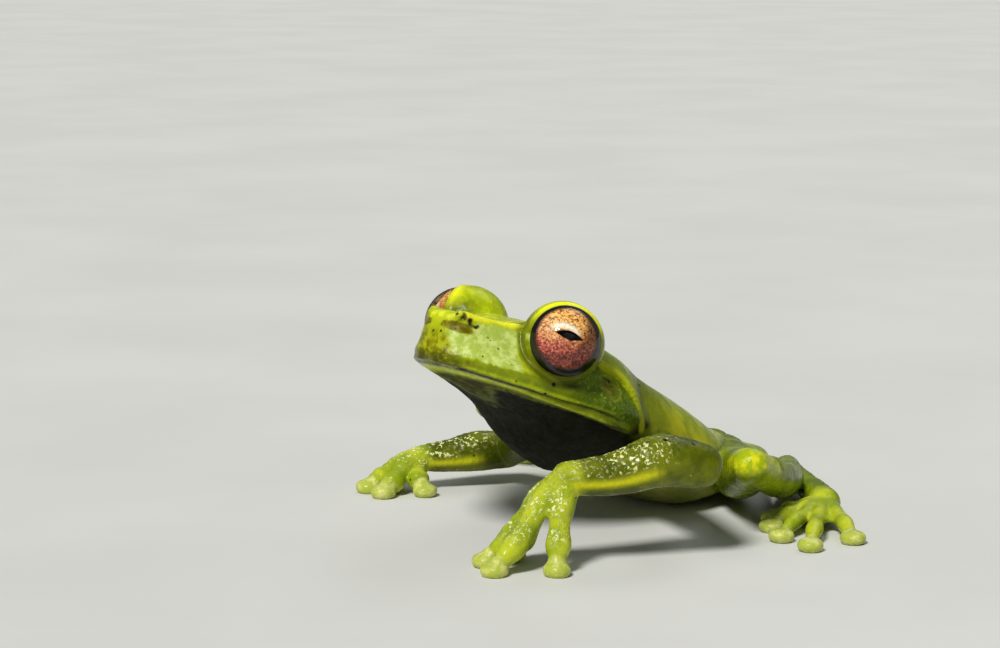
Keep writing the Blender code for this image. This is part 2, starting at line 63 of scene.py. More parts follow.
# Eye: the clear front's radius, how far it stands out of the lid's dome, iris and pupil
CORNEA_RADIUS = 2.84
CORNEA_SHIFT = 0.59
GLOBE_RADIUS = 2.79
SOCKET_RADIUS = 2.86
IRIS_RADIUS = 2.3
IRIS_FRONT = 2.34
PUPIL_HALF_LENGTH = 1.08
PUPIL_HALF_HEIGHT = 0.36
PUPIL_OFFSET = (0.1, 0.14)
PUPIL_TILT = 19.0
PUPIL_DEPTH = 0.55
GAZE = {1: Vector((0.0, 0.0, 0.07)), -1: Vector((0.28, -0.2, 0.08))}

# Face lines as places along the head: across, back, up
FOLD = (
    (5.7, 11.5, 3.85),
    (6.12, 12.55, 3.42),
    (6.44, 13.63, 3.18),
    (6.66, 14.52, 2.88),
    (6.84, 15.2, 2.42),
    (6.94, 15.9, 1.85),
    (6.98, 16.63, 1.1),
    (6.75, 17.4, 0.4),
    (6.1, 18.3, -0.1),
)
CANTHUS = (
    (1.9, 2.2, 3.55),
    (2.2, 3.2, 3.68),
    (2.4, 4.3, 3.84),
    (2.9, 5.2, 3.95),
    (3.6, 5.7, 4.35),
)
NECK = ((5.9, -3.4, 9.6), (5.6, -1.0, 9.0), (5.3, 1.6, 8.2))
NECK_RADII = (0.7, 0.9, 0.6)
NOSTRIL = (1.85, 1.8, 3.25)
DRUM = (7.0, 13.1, 1.8)
DRUM_RADIUS = 1.12

# Black spots: across, back, up, radius; the next ones are in the working frame
HEAD_SPOTS = (
    (6.67, 7.93, 0.51, 0.17),
    (6.21, 7.74, -0.19, 0.14),
    (6.56, 12.6, 2.38, 0.12),
    (6.74, 13.2, 2.36, 0.15),
    (6.62, 12.9, 2.5, 0.1),
    (4.32, 18.62, 3.23, 0.17),
    (-0.04, 0.99, 1.85, 0.08),
    (0.6, 1.1, 2.4, 0.07),
    (1.54, 1.35, 1.0, 0.08),
    (3.07, 3.59, 2.48, 0.08),
    (3.3, 3.7, 2.3, 0.06),
    (3.78, 4.24, 1.84, 0.09),
    (5.21, 5.57, -0.04, 0.08),
    (5.05, 4.88, 0.96, 0.06),
    (5.3, 5.2, 1.3, 0.05),
)
ARM_SPOTS = (
    (15.89, -5.16, 8.8, 0.2),
    (14.8, -7.02, 9.0, 0.2),
    (14.13, -8.07, 8.9, 0.13),
    (13.36, -9.02, 8.6, 0.12),
)
# Dark smudges round the nostril
SMUDGES = ((1.85, 1.8, 3.25, 0.3), (1.5, 1.5, 3.4, 0.2), (2.2, 2.25, 3.0, 0.34), (2.45, 2.8, 2.9, 0.2))

# Rings along the head: back, lip, ridge, height of the ridge, crown, cheek, jaw
HEAD_STATIONS = (
    (1.05, 0.85, 0.80, 2.60, 2.65, 0.10, 0.15),
    (1.35, 1.55, 1.35, 3.25, 3.30, 0.20, 0.25),
    (2.00, 2.50, 1.80, 3.66, 3.66, 0.25, 0.35),
    (3.30, 3.80, 2.30, 3.70, 3.68, 0.08, 0.55),
    (5.10, 5.15, 3.05, 3.85, 3.88, -0.12, 0.90),
    (7.00, 6.10, 3.90, 4.40, 4.60, -0.10, 1.30),
    (9.00, 6.80, 4.50, 4.60, 5.05, 0.00, 1.90),
    (10.8, 7.20, 4.80, 4.60, 5.20, 0.20, 2.80),
    (12.5, 7.45, 4.90, 4.40, 5.15, 0.40, 4.20),
    (15.0, 7.50, 4.90, 4.10, 4.95, 0.50, 5.00),
    (17.0, 7.00, 4.60, 3.80, 4.70, 0.50, 4.90),
    (19.5, 5.80, 3.90, 3.20, 4.20, 0.30, 4.30),
)

# Rings along the trunk: y, top, bottom, half width
TRUNK_STATIONS = (
    (-5.5, 11.6, 6.6, 4.4),
    (-3.5, 13.3, 5.1, 6.2),
    (0.0, 12.4, 3.3, 6.6),
    (3.8, 10.4, 1.2, 6.9),
    (6.5, 8.85, 0.0, 6.9),
    (9.0, 7.35, -0.2, 6.5),
    (12.3, 5.50, -0.2, 5.4),
    (15.5, 4.15, -0.2, 4.3),
    (18.5, 3.10, -0.1, 3.5),
    (21.0, 2.30, 0.4, 2.1),
)
TRUNK_MIDDLE = 0.42
TRUNK_POWER = 2.3

PAD_RADIUS = 1.05
PAD_HEIGHT = 0.62
PAD_UP = 0.42
DIGIT_RADIUS = 0.85

# Arms: joints, how far the forearm arches up, and its thickness against the near one's
LEFT_ARM = {
    "shoulder": (6.2, 0.9, 5.3), "elbow": (15.4, -4.0, 6.9), "wrist": (11.0, -13.0, 6.5),
    "arch": 0.65, "girth": 1.0,
}
RIGHT_ARM = {
    "shoulder": (-6.4, 0.6, 6.0), "elbow": (-13.4, 2.6, 2.7), "wrist": (-16.4, -4.6, 2.5),
    "arch": 0.2, "girth": 0.86,
}
UPPER_ARM_RADII = (1.9, 1.8, 1.65)
FOREARM_RADII = (1.65, 1.9, 1.55, 1.2)

LEFT_FINGERS = (
    ((9.4, -13.7, 4.9), (8.0, -14.6, 1.9), (6.9, -14.7, PAD_UP)),
    ((9.4, -14.0, 5.0), (8.2, -15.9, 2.1), (7.0, -17.4, PAD_UP)),
    ((10.0, -14.3, 5.0), (9.7, -16.9, 2.0), (9.5, -18.7, PAD_UP)),
    ((11.3, -13.9, 4.4), (11.8, -14.6, 2.0), (12.4, -15.3, PAD_UP)),
)
RIGHT_FINGERS = (
    ((-15.8, -5.2, 1.7), (-14.9, -5.6, 1.1), (-13.9, -5.8, PAD_UP)),
    ((-16.3, -6.2, 1.8), (-16.0, -7.4, 1.1), (-15.7, -8.7, PAD_UP)),
    ((-17.1, -6.2, 1.8), (-17.6, -7.3, 1.1), (-18.1, -8.3, PAD_UP)),
    ((-17.6, -5.2, 1.7), (-18.7, -5.5, 1.1), (-19.8, -5.7, PAD_UP)),
)

# Legs: joints, with the thigh's and the shank's bow between them
LEFT_LEG = {
    "hip": (-1.3, 15.5, 2.3), "bow": (6.2, 9.6, 3.0), "knee": (13.6, 3.2, 5.6),
    "calf": (9.5, 11.1, 2.7), "heel": (2.7, 18.8, 1.6), "sole": (12.2, 13.0, 1.15),
}
RIGHT_LEG = {
    "hip": (-3.6, 16.4, 2.3), "bow": (-11.0, 11.3, 3.0), "knee": (-18.2, 5.0, 5.6),
    "calf": (-15.0, 13.6, 2.7), "heel": (-9.2, 21.6, 1.6), "sole": (-18.1, 15.9, 1.15),
}
THIGH_RADII = (1.9, 2.05, 1.35)
SHANK_RADII = (1.35, 1.42, 1.0)
TARSUS_RADII = (1.0, 0.95, 1.2)
TOE_LENGTHS = (4.8, 6.8, 9.3, 11.5, 9.0)
TOE_RADIUS = 0.6
TOE_ARCH = 0.95
LEFT_TOE_TURNS = (-32.0, -14.0, 2.0, 17.0, 36.0)
RIGHT_TOE_TURNS = (30.0, 12.0, -2.0, -16.0, -34.0)
LEFT_TOE_HEADING = 20.0
RIGHT_TOE_HEADING = -14.0

# The photograph's camera, in the solids' working frame
VIEW_AZIMUTH = 49.0
VIEW_ELEVATION = 9.0
VIEW_AIM = Vector((3.8, -13.2, 16.9))
VIEW_DISTANCE = 203.0
VIEW_LENS = 100.0


# Shape helpers, all in millimetres in the working frame

def smooth_rows(rows, steps):
    """Rows of numbers joined by an even curve that passes through each of them."""
    rows = [tuple(row) for row in rows]
    padded = [rows[0], *rows, rows[-1]]
    made = []
    for index in range(len(rows) - 1):
        before, start, end, after = padded[index : index + 4]
        for step in range(steps):
            t = step / steps
            row = []
            for a, b, c, d in zip(before, start, end, after):
                bend = (2 * a - 5 * b + 4 * c - d) * t * t
                twist = (3 * b - a - 3 * c + d) * t * t * t
                row.append(0.5 * (2 * b + (c - a) * t + bend + twist))
            made.append(tuple(row))
    made.append(rows[-1])
    return made


PITCH = math.radians(HEAD_PITCH)
HEAD_BACK = Vector((0.0, math.cos(PITCH), -math.sin(PITCH)))
HEAD_UP = Vector((0.0, math.sin(PITCH), math.cos(PITCH)))


def head_point(across, back, up):
    """Place of a point given along the head: to its left, back from the tip, up from the mouth line."""
    return HEAD_TIP + Vector((across, 0.0, 0.0)) + HEAD_BACK * back + HEAD_UP * up


def head_direction(across, back, up):
    return (head_point(across, back, up) - HEAD_TIP).normalized()


def trunk_centre(y):
    return math.tan(math.radians(BODY_YAW)) * max(y - NAPE_Y, 0.0)


def middle_of(start, end, share=0.5):
    return tuple(a + (b - a) * share for a, b in zip(start, end))


class Form:
    """Corners and faces of closed shapes that lie in each other, before they are fused."""

    def __init__(self):
        self.corners = []
        self.faces = []

    def corner(self, point):
        self.corners.append(tuple(point))
        return len(self.corners) - 1

    def face(self, *corners):
        self.faces.append(corners)


def add_loft(form, rings, ends):
    rows = [[form.corner(point) for point in ring] for ring in rings]
    count = len(rows[0])
    for low, high in zip(rows, rows[1:]):
        for index in range(count):
            after = (index + 1) % count
            form.face(low[index], low[after], high[after], high[index])
    first, last = form.corner(ends[0]), form.corner(ends[1])
    for index in range(count):
        after = (index + 1) % count
        form.face(rows[0][after], rows[0][index], first)
        form.face(rows[-1][index], rows[-1][after], last)


def add_ball(form, centre, radii, across=40, along=24):
    rings = []
    for row in range(1, along):
        turn = math.pi * row / along
        wide, height = math.sin(turn), -radii[2] * math.cos(turn)
        ring = []
        for k in range(across):
            angle = 2 * math.pi * k / across
            x, y = radii[0] * wide * math.cos(angle), radii[1] * wide * math.sin(angle)
            ring.append(Vector(centre) + Vector((x, y, height)))
        rings.append(ring)
    pole = Vector((0.0, 0.0, radii[2]))
    add_loft(form, rings, (Vector(centre) - pole, Vector(centre) + pole))


def add_tube(form, points, radii, steps=24, sides=48, closed=False):
    """A round tube of changing thickness on a smooth path, with round ends."""
    rows = [(*point, radius) for point, radius in zip(points, radii)]
    if not closed:
        rows = smooth_rows(rows, steps)
    places = [Vector(row[:3]) for row in rows]
    count = len(places)
    rings = []
    side = None
    for index, place in enumerate(places):
        if closed:
            ahead = places[(index + 1) % count] - places[index - 1]
        else:
            ahead = places[min(index + 1, count - 1)] - places[max(index - 1, 0)]
        ahead.normalize()
        if side is None:
            side = ahead.orthogonal().normalized()
        side = (side - ahead * side.dot(ahead)).normalized()
        other = ahead.cross(side)
        radius = rows[index][3]
        ring = []
        for k in range(sides):
            angle = 2 * math.pi * k / sides
            ring.append(place + side * radius * math.cos(angle) + other * radius * math.sin(angle))
        rings.append(ring)
    if closed:
        verts = [[form.corner(point) for point in ring] for ring in rings]
        for index in range(count):
            low, high = verts[index], verts[(index + 1) % count]
            for k in range(sides):
                after = (k + 1) % sides
                form.face(low[k], low[after], high[after], high[k])
        return
    add_loft(form, rings, (places[0], places[-1]))
    for end in (0, -1):
        add_ball(form, places[end], (rows[end][3],) * 3)


def add_sheet(form, grid, thick):
    """A thin closed web over a grid of points."""
    rows, columns = len(grid), len(grid[0])
    half = Vector((0.0, 0.0, thick / 2))
    top = [[form.corner(Vector(point) + half) for point in row] for row in grid]
    under = [[form.corner(Vector(point) - half) for point in row] for row in grid]
    for i in range(rows - 1):
        for j in range(columns - 1):
            form.face(top[i][j], top[i][j + 1], top[i + 1][j + 1], top[i + 1][j])
            form.face(under[i][j], under[i + 1][j], under[i + 1][j + 1], under[i][j + 1])
    rim = [(0, j) for j in range(columns)] + [(i, columns - 1) for i in range(1, rows)]
    rim += [(rows - 1, j) for j in range(columns - 2, -1, -1)] + [(i, 0) for i in range(rows - 2, 0, -1)]
    for (i, j), (k, m) in zip(rim, rim[1:] + rim[:1]):
        form.face(top[i][j], under[i][j], under[k][m], top[k][m])


# The body's forms

def head_ring(back, lip, ridge, ridge_up, crown, cheek, jaw):
    half = (
        (0.0, crown),
        (ridge * 0.6, crown - 0.02),
        (ridge, ridge_up),
        ((ridge + lip) * 0.5 + cheek, ridge_up * 0.55),
        (lip + 0.02, min(0.95, ridge_up * 0.4)),
        (lip + 0.14, 0.35),
        (lip - 0.06, 0.0),
        (lip - 0.16, -0.3),
        (lip * 0.72, -0.25 - jaw * 0.42),
        (lip * 0.34, -0.1 - jaw * 0.84),
        (0.0, -jaw),
    )
    right = smooth_rows(half, 12)
    left = [(-x, z) for x, z in reversed(right[1:-1])]
    return [head_point(x, back, z) for x, z in right + left]


def add_head(form):
    stations = smooth_rows(HEAD_STATIONS, 20)
    rings = [head_ring(*station) for station in stations]
    front = head_point(0.0, HEAD_STATIONS[0][0] - 0.15, 1.3)
    rear = head_point(0.0, HEAD_STATIONS[-1][0] + 1.0, 0.4)
    add_loft(form, rings, (front, rear))


def add_trunk(form):
    rings = []
    for y, top, bottom, half_width in smooth_rows(TRUNK_STATIONS, 24):
        middle = bottom + (top - bottom) * TRUNK_MIDDLE
        ring = []
        for index in range(144):
            turn = 2 * math.pi * index / 144
            x = math.copysign(abs(math.sin(turn)) ** (2 / TRUNK_POWER), math.sin(turn))
            z = math.copysign(abs(math.cos(turn)) ** (2 / TRUNK_POWER), math.cos(turn))
            height = top - middle if z > 0 else middle - bottom
            ring.append(Vector((trunk_centre(y) + half_width * x, y, middle + height * z)))
        rings.append(ring)
    first, last = TRUNK_STATIONS[0], TRUNK_STATIONS[-1]
    front = Vector((0.0, first[0] - 0.8, (first[1] + first[2]) / 2))
    rear = Vector((trunk_centre(last[0]), last[0] + 0.9, (last[1] + last[2]) / 2))
    add_loft(form, rings, (front, rear))


def eye_place(side):
    return head_point(EYE_SIDE * side, EYE_BACK, EYE_UP)


def eye_axis(side):
    return head_direction(EYE_AXIS.x * side, EYE_AXIS.y, EYE_AXIS.z)


def ball_place(side):
    """Middle of the eyeball, which stands out of the lid's dome."""
    return eye_place(side) + eye_axis(side) * CORNEA_SHIFT


def eye_frame(side, shift=Vector((0.0, 0.0, 0.0))):
    """Turn of an eye: Z out along its axis, Y up, tilted so that X is the pupil's long way."""
    out = (eye_axis(side) + shift).normalized()
    upward = (Vector((0.0, 0.0, 1.0)) - out * out.z).normalized()
    across = upward.cross(out)
    base = Matrix((across, upward, out)).transposed().to_4x4()
    return base @ Matrix.Rotation(math.radians(-PUPIL_TILT * side), 4, "Z")


def add_lids(form, side):
    centre = eye_place(side)
    out = eye_axis(side)
    add_ball(form, centre, (LID_RADIUS,) * 3)
    upward = (Vector((0.0, 0.0, 1.0)) - out * out.z).normalized()
    forward = upward.cross(out) * -side
    lean = math.asin(LID_RIM_RADIUS / LID_RADIUS)
    places, radii = [], []
    for index in range(72):
        angle = 2 * math.pi * index / 72
        rise, front = math.sin(angle), math.cos(angle)
        thick = 0.17 + 0.05 * max(rise, 0.0) + 0.03 * front
        outward = (forward * front + upward * rise) * math.sin(lean) + out * math.cos(lean)
        proud = LID_RIM_PROUD * (1 + 0.5 * max(rise, 0.0))
        places.append(centre + outward * (LID_RADIUS + proud - thick))
        radii.append(thick)
    add_tube(form, places, radii, sides=14, closed=True)


def add_face(form, side):
    places = [head_point(across * side, back, up) for across, back, up in FOLD]
    add_tube(form, places, (0.2, 0.26, 0.28, 0.28, 0.28, 0.28, 0.28, 0.26, 0.2))
    neck = [(across * side + trunk_centre(y), y, z) for across, y, z in NECK]
    add_tube(form, neck, NECK_RADII)
    add_ball(form, head_point(1.45 * side, 1.95, 3.2), (0.55,) * 3)


def add_digit(form, root, joints, radius):
    """A finger or toe with swollen joints and its broad round pad."""
    first, second, pad = (Vector(joint) for joint in joints)
    points = (root, first, first.lerp(second, 0.5), second, second.lerp(pad, 0.5), pad)
    shares = (1.2, 1.16, 0.92, 1.12, 0.86, 0.8)
    add_tube(form, points, [radius * share for share in shares], steps=12, sides=32)
    add_ball(form, pad, (PAD_RADIUS, PAD_RADIUS, PAD_HEIGHT))


def add_web(form, root, first, second, reach, sag):
    """Skin between two digits, from their root out to a hollow edge."""
    def along(joints, share):
        path = smooth_rows([root, *joints], 8)
        place = share * (len(path) - 1)
        low = min(int(place), len(path) - 2)
        return Vector(path[low]).lerp(Vector(path[low + 1]), place - low)

    grid = []
    for i in range(9):
        row = []
        for j in range(9):
            across = j / 8
            share = reach * (i / 8) * (1 - sag * 4 * across * (1 - across))
            row.append(along(first, share).lerp(along(second, share), across) - Vector((0, 0, 0.12)))
        grid.append(row)
    add_sheet(form, grid, 0.42)


def forearm_path(arm):
    """Elbow to wrist, arched up where the muscle is thickest."""
    elbow, wrist = arm["elbow"], arm["wrist"]
    x, y, z = middle_of(elbow, wrist, 0.3)
    return (elbow, (x, y, z + arm["arch"]), middle_of(elbow, wrist, 0.65), wrist)


def arm_tubes(arm):
    """The arm's tubes: name, joints and radii."""
    shoulder, elbow = arm["shoulder"], arm["elbow"]
    upper = (shoulder, middle_of(shoulder, elbow), elbow)
    return (
        ("upper", upper, [radius * arm["girth"] for radius in UPPER_ARM_RADII]),
        ("fore", forearm_path(arm), [radius * arm["girth"] for radius in FOREARM_RADII]),
    )


def leg_tubes(leg):
    tarsus = (leg["heel"], middle_of(leg["heel"], leg["sole"]), leg["sole"])
    return (
        ("thigh", (leg["hip"], leg["bow"], leg["knee"]), THIGH_RADII),
        ("shank", (leg["knee"], leg["calf"], leg["heel"]), SHANK_RADII),
        ("tarsus", tarsus, TARSUS_RADII),
    )


def add_limb(form, tubes, root, digits, radius, web_reach, web_sag):
    for _, joints, radii in tubes:
        add_tube(form, joints, radii)
    for joints in digits:
        add_digit(form, root, joints, radius)
    for first, second in zip(digits, digits[1:]):
        add_web(form, root, first, second, web_reach, web_sag)


def toe_joints(sole, length, turn):
    angle = math.radians(turn)
    ahead = Vector((math.sin(angle), -math.cos(angle), 0.0))
    base = Vector(sole)
    return tuple(
        tuple(Vector((base.x, base.y, height)) + ahead * length * share)
        for share, height in ((0.35, TOE_ARCH + 0.1), (0.72, TOE_ARCH), (1.0, PAD_UP))
    )


def leg_toes(leg, heading, turns):
    return [
        toe_joints(leg["sole"], length, heading + turn) for length, turn in zip(TOE_LENGTHS, turns)
    ]


# Numbers over the whole skin at once

def ease(low, high, value):
    """0 below low, 1 above high, and a smooth rise between them."""
    t = np.clip((value - low) / (high - low), 0.0, 1.0)
    return t * t * (3 - 2 * t)


def bell(value, width):
    return np.exp(-((value / width) ** 2))


def scatter(cells, seed):
    """A fixed number from 0 to 1 for each cell of a grid."""
    mixed = (
        cells[..., 0].astype(np.int64) * 73856093
        ^ cells[..., 1].astype(np.int64) * 19349663
        ^ cells[..., 2].astype(np.int64) * 83492791
        ^ np.int64(seed * 2654435761 % 2147483647)
    )
    mixed = (mixed ^ (mixed >> 13)) * 1274126177
    mixed = mixed ^ (mixed >> 16)
    return (mixed & 0xFFFFFF) / float(0xFFFFFF)


def drift(points, size, seed):
    """Soft lumps of about that size, from -1 to 1."""
    scaled = points / size
    base = np.floor(scaled)
    part = scaled - base
    part = part * part * (3 - 2 * part)
    total = np.zeros(len(points))
    for corner in range(8):
        step = np.array([corner & 1, corner >> 1 & 1, corner >> 2 & 1])
        weight = np.prod(np.where(step, part, 1 - part), axis=1)
        total += weight * scatter(base + step, seed)
    return total * 2 - 1


def grains(points, size, seed):
    """Round grains about that far apart: 1 at a grain's middle, 0 between grains."""
    scaled = points / size
    base = np.floor(scaled)
    nearest = np.full(len(points), 9.0)
    for dx in (-1, 0, 1):
        for dy in (-1, 0, 1):
            for dz in (-1, 0, 1):
                cell = base + np.array([dx, dy, dz])
                shift = np.stack([scatter(cell, seed + k) for k in range(3)], axis=1)
                nearest = np.minimum(nearest, ((cell + shift - scaled) ** 2).sum(axis=1))
    return np.clip(1.0 - nearest / 0.42, 0.0, 1.0)


FAR = 99.0


def from_line(points, joints, radii):
    """Distance from a limb's surface, with the share of the way along it."""
    path = np.array(smooth_rows([(*joint, radius) for joint, radius in zip(joints, radii)], 6))
    full = np.full(len(points), FAR)
    full_way = np.zeros(len(points))
    reach = path[:, 3].max() + 1.5
    low, high = path[:, :3].min(0) - reach, path[:, :3].max(0) + reach
    close = np.all((points > low) & (points < high), axis=1)
    points = points[close]
    best = np.full(len(points), FAR)
    way = np.zeros(len(points))
    for index in range(len(path) - 1):
        start, end = path[index, :3], path[index + 1, :3]
        run = end - start
        t = np.clip(((points - start) @ run) / max(run @ run, 1e-9), 0.0, 1.0)
        radius = path[index, 3] + (path[index + 1, 3] - path[index, 3]) * t
        away = np.linalg.norm(points - start - t[:, None] * run, axis=1) - radius
        near = away < best
        best = np.where(near, away, best)
        way = np.where(near, (index + t) / (len(path) - 1), way)
    full[close], full_way[close] = best, way
    return full, full_way


def distance(points, place):
    return np.linalg.norm(points - np.array(place), axis=1)


def nearest_of(points, places):
    """Distance to the nearest of a few places."""
    return np.min([distance(points, place) for place in places], axis=0)


def read_rows(rows, name):
    """Three numbers for each of a mesh's corners, such as its place or its normal."""
    data = np.empty(len(rows) * 3, np.float32)
    rows.foreach_get(name, data)
    return data.reshape(-1, 3).astype(float)


def write_points(mesh, points):
    mesh.vertices.foreach_set("co", points.astype(np.float32).ravel())
    mesh.update()


def evaluated(item):
    """The object's mesh with its modifiers in it, and the modifiers gone."""
    bpy.context.view_layer.update()
    shape = item.evaluated_get(bpy.context.evaluated_depsgraph_get())
    mesh = bpy.data.meshes.new_from_object(shape)
    item.modifiers.clear()
    old = item.data
    item.data = mesh
    bpy.data.meshes.remove(old)
    return item


def link(name, data):
    made = bpy.data.objects.new(name, data)
    bpy.context.scene.collection.objects.link(made)
    return made


# The skin

LEFT_TOES = leg_toes(LEFT_LEG, LEFT_TOE_HEADING, LEFT_TOE_TURNS)
RIGHT_TOES = leg_toes(RIGHT_LEG, RIGHT_TOE_HEADING, RIGHT_TOE_TURNS)


def fused_skin():
    form = Form()
    add_head(form)
    add_trunk(form)
    for side in (1, -1):
        add_lids(form, side)
        add_face(form, side)
    for arm, fingers in ((LEFT_ARM, LEFT_FINGERS), (RIGHT_ARM, RIGHT_FINGERS)):
        add_limb(form, arm_tubes(arm), arm["wrist"], fingers, DIGIT_RADIUS, 0.5, 0.3)
    for leg, toes in ((LEFT_LEG, LEFT_TOES), (RIGHT_LEG, RIGHT_TOES)):
        add_limb(form, leg_tubes(leg), leg["sole"], toes, TOE_RADIUS, 0.72, 0.32)
    mesh = bpy.data.meshes.new("skin")
    mesh.from_pydata(form.corners, [], form.faces)
    item = link("skin", mesh)
    remesh = item.modifiers.new("fuse", "REMESH")
    remesh.mode = "VOXEL"
    remesh.voxel_size = VOXEL
    remesh.use_smooth_shade = True
    soften = item.modifiers.new("soften", "SMOOTH")
    soften.factor = 0.5
    soften.iterations = SMOOTH_PASSES
    return evaluated(item)


def head_coordinates(points):
    away = points - np.array(HEAD_TIP)
    return points[:, 0], away @ np.array(HEAD_BACK), away @ np.array(HEAD_UP)


def regions(points, normals):
    """How far each point belongs to each part of the body, from 0 to 1."""
    x, back, up = head_coordinates(points)
    limbs = {}
    for side, arm, fingers, leg, toes in (
        ("left", LEFT_ARM, LEFT_FINGERS, LEFT_LEG, LEFT_TOES),
        ("right", RIGHT_ARM, RIGHT_FINGERS, RIGHT_LEG, RIGHT_TOES),
    ):
        for name, joints, radii in (*arm_tubes(arm), *leg_tubes(leg)):
            limbs[f"{name}_{side}"] = from_line(points, joints, radii)
        for name, root, digits, radius in (
            ("hand", arm["wrist"], fingers, DIGIT_RADIUS),
            ("foot", leg["sole"], toes, TOE_RADIUS),
        ):
            reach = [from_line(points, (root, *joints), (radius,) * 4)[0] for joints in digits]
            limbs[f"{name}_{side}"] = (np.min(reach, axis=0), np.zeros(len(points)))

    def near(names, width=0.5):
        least = np.min([limbs[name][0] for name in names], axis=0)
        return 1 - ease(0.15, 0.15 + width, least)

    arms = near(["upper_left", "fore_left", "upper_right", "fore_right"])
    hands = near(["hand_left", "hand_right"], 0.8)
    legs = near(["thigh_left", "shank_left", "tarsus_left", "thigh_right", "shank_right", "tarsus_right"])
    feet = near(["foot_left", "foot_right"], 0.8)
    pads = [joints[-1] for joints in (*LEFT_FINGERS, *RIGHT_FINGERS, *LEFT_TOES, *RIGHT_TOES)]
    disc = 1 - ease(0.95, 1.35, nearest_of(points, pads))
    limb = np.clip(np.max([arms, hands, legs, feet], axis=0), 0, 1)
    head = (1 - ease(15.5, 18.0, back)) * (1 - limb) * ease(-8.0, -6.5, up)
    # Where painted highlights go: the tops of the forearms' far halves and of the hands
    glint = np.zeros(len(points))
    for side in ("left", "right"):
        away, way = limbs[f"fore_{side}"]
        upper_side = ease(-0.1, 0.35, normals[:, 2])
        glint = np.maximum(glint, (1 - ease(0.2, 0.7, away)) * ease(0.2, 0.42, way) * upper_side)
    glint = np.maximum(glint, hands * ease(1.6, 3.4, points[:, 2]) * ease(-0.1, 0.3, normals[:, 2]))
    cheek = head * ease(9.0, 11.5, back) * ease(3.2, 2.2, up) * ease(-0.5, 0.1, up)
    return {
        "x": x, "back": back, "up": up, "rise": normals[:, 2], "head": head, "limb": limb,
        "arms": arms, "hands": hands, "legs": legs, "feet": feet, "disc": disc, "limbs": limbs,
        "glint": glint, "cheek": cheek * ease(6.0, 6.6, np.abs(x)),
    }


def mouth_height(back):
    """Height of the mouth's line over the head's own level, along the head."""
    return -0.15 - 0.25 * ease(1.0, 2.2, back) + 0.25 * ease(8.5, 13.0, back)


def lower_lip_height(back):
    return -0.3 - 0.22 * ease(1.0, 2.6, back) - 0.1 * ease(5.0, 9.5, back)


def face_line(points, line, radius, side):
    """Distance from a line drawn on one side of the face."""
    places = [head_point(across * side, back, up) for across, back, up in line]
    return from_line(points, places, (radius,) * len(places))[0]


def carve(points, normals, part):
    """Relief that is small but real: mouth, lips, nostrils, drums, folds, grains and creases."""
    back, up, head = part["back"], part["up"], part["head"]
    lift = np.zeros(len(points))
    side_on = ease(0.2, 0.5, np.abs(normals[:, 0]) + (1 - ease(1.5, 3.0, back)))
    along = (1 - ease(14.0, 15.2, back)) * head * side_on * (0.25 + 0.75 * ease(1.5, 3.2, back))
    mouth = up - mouth_height(back)
    lift -= 0.2 * bell(mouth, 0.09) * along
    lift += 0.07 * bell(mouth - 0.2, 0.12) * along
    lift += 0.13 * bell(up - lower_lip_height(back), 0.1) * along
    lift -= 0.07 * bell(up - lower_lip_height(back) + 0.26, 0.12) * along
    for side in (1, -1):
        nostril = head_point(NOSTRIL[0] * side, *NOSTRIL[1:])
        away = distance(points, nostril)
        lift -= 0.4 * bell(away, 0.2) * head
        lift += 0.08 * bell(away - 0.42, 0.16) * head
        drum = head_point(DRUM[0] * side, *DRUM[1:])
        away = distance(points, drum)
        lift += 0.07 * bell(away - DRUM_RADIUS, 0.12) * head
        lift -= 0.06 * (1 - ease(0.6, 1.0, away)) * head
        lift += 0.07 * bell(face_line(points, CANTHUS, 0.1, side), 0.25) * head
    eye_clear = np.ones(len(points))
    socket_clear = np.ones(len(points))
    for side in (1, -1):
        reach = distance(points, eye_place(side))
        eye_clear *= ease(3.2, 4.2, reach)
        ball = ball_place(side)
        reach = distance(points, ball)
        socket_clear *= ease(SOCKET_RADIUS + 0.02, SOCKET_RADIUS + 0.25, reach)
    lumps = drift(points, 2.6, 3) * 0.07 + drift(points, 1.1, 5) * 0.03
    body = 1 - part["limb"]
    lift += lumps * (0.35 + 0.65 * eye_clear)
    coarse = grains(points, 0.62, 11)
    fine = grains(points, 0.36, 17)
    under = ease(0.1, -0.5, part["rise"])
    lift += coarse * 0.022 * under * body
    lift += fine * 0.06 * part["glint"]
    lift += fine * 0.02 * part["arms"] * (1 - part["glint"])
    lift += fine * 0.05 * part["cheek"]
    lift += fine * 0.03 * part["legs"]
    lift += fine * 0.008 * body * (1 - under) * eye_clear
    for name in ("fore_left", "fore_right"):
        away, way = part["limbs"][name]
        here = 1 - ease(0.15, 0.6, away)
        creases = np.sin(way * 120.0 + drift(points, 1.2, 23) * 2.0)
        lift += creases * 0.018 * here * (bell(way, 0.09) + bell(way - 1.0, 0.08))
    lift -= 0.07 * bell(nearest_of(points, [joints[-1] for joints in ALL_DIGITS]) - 1.12, 0.12)
    return points + normals * (lift * socket_clear)[:, None]


ALL_DIGITS = (*LEFT_FINGERS, *RIGHT_FINGERS, *LEFT_TOES, *RIGHT_TOES)


def open_sockets(skin):
    """Cut a round socket for each eyeball out of the skin."""
    for side in (1, -1):
        form = Form()
        add_ball(form, (0.0, 0.0, 0.0), (SOCKET_RADIUS,) * 3, 128, 64)
        mesh = bpy.data.meshes.new("socket")
        mesh.from_pydata(form.corners, [], form.faces)
        ball = link("socket", mesh)
        ball.matrix_world = Matrix.Translation(ball_place(side)) @ eye_frame(side)
        cut = skin.modifiers.new("socket", "BOOLEAN")
        cut.solver = "MANIFOLD"
        cut.object = ball
        evaluated(skin)
        bpy.data.objects.remove(ball, do_unlink=True)


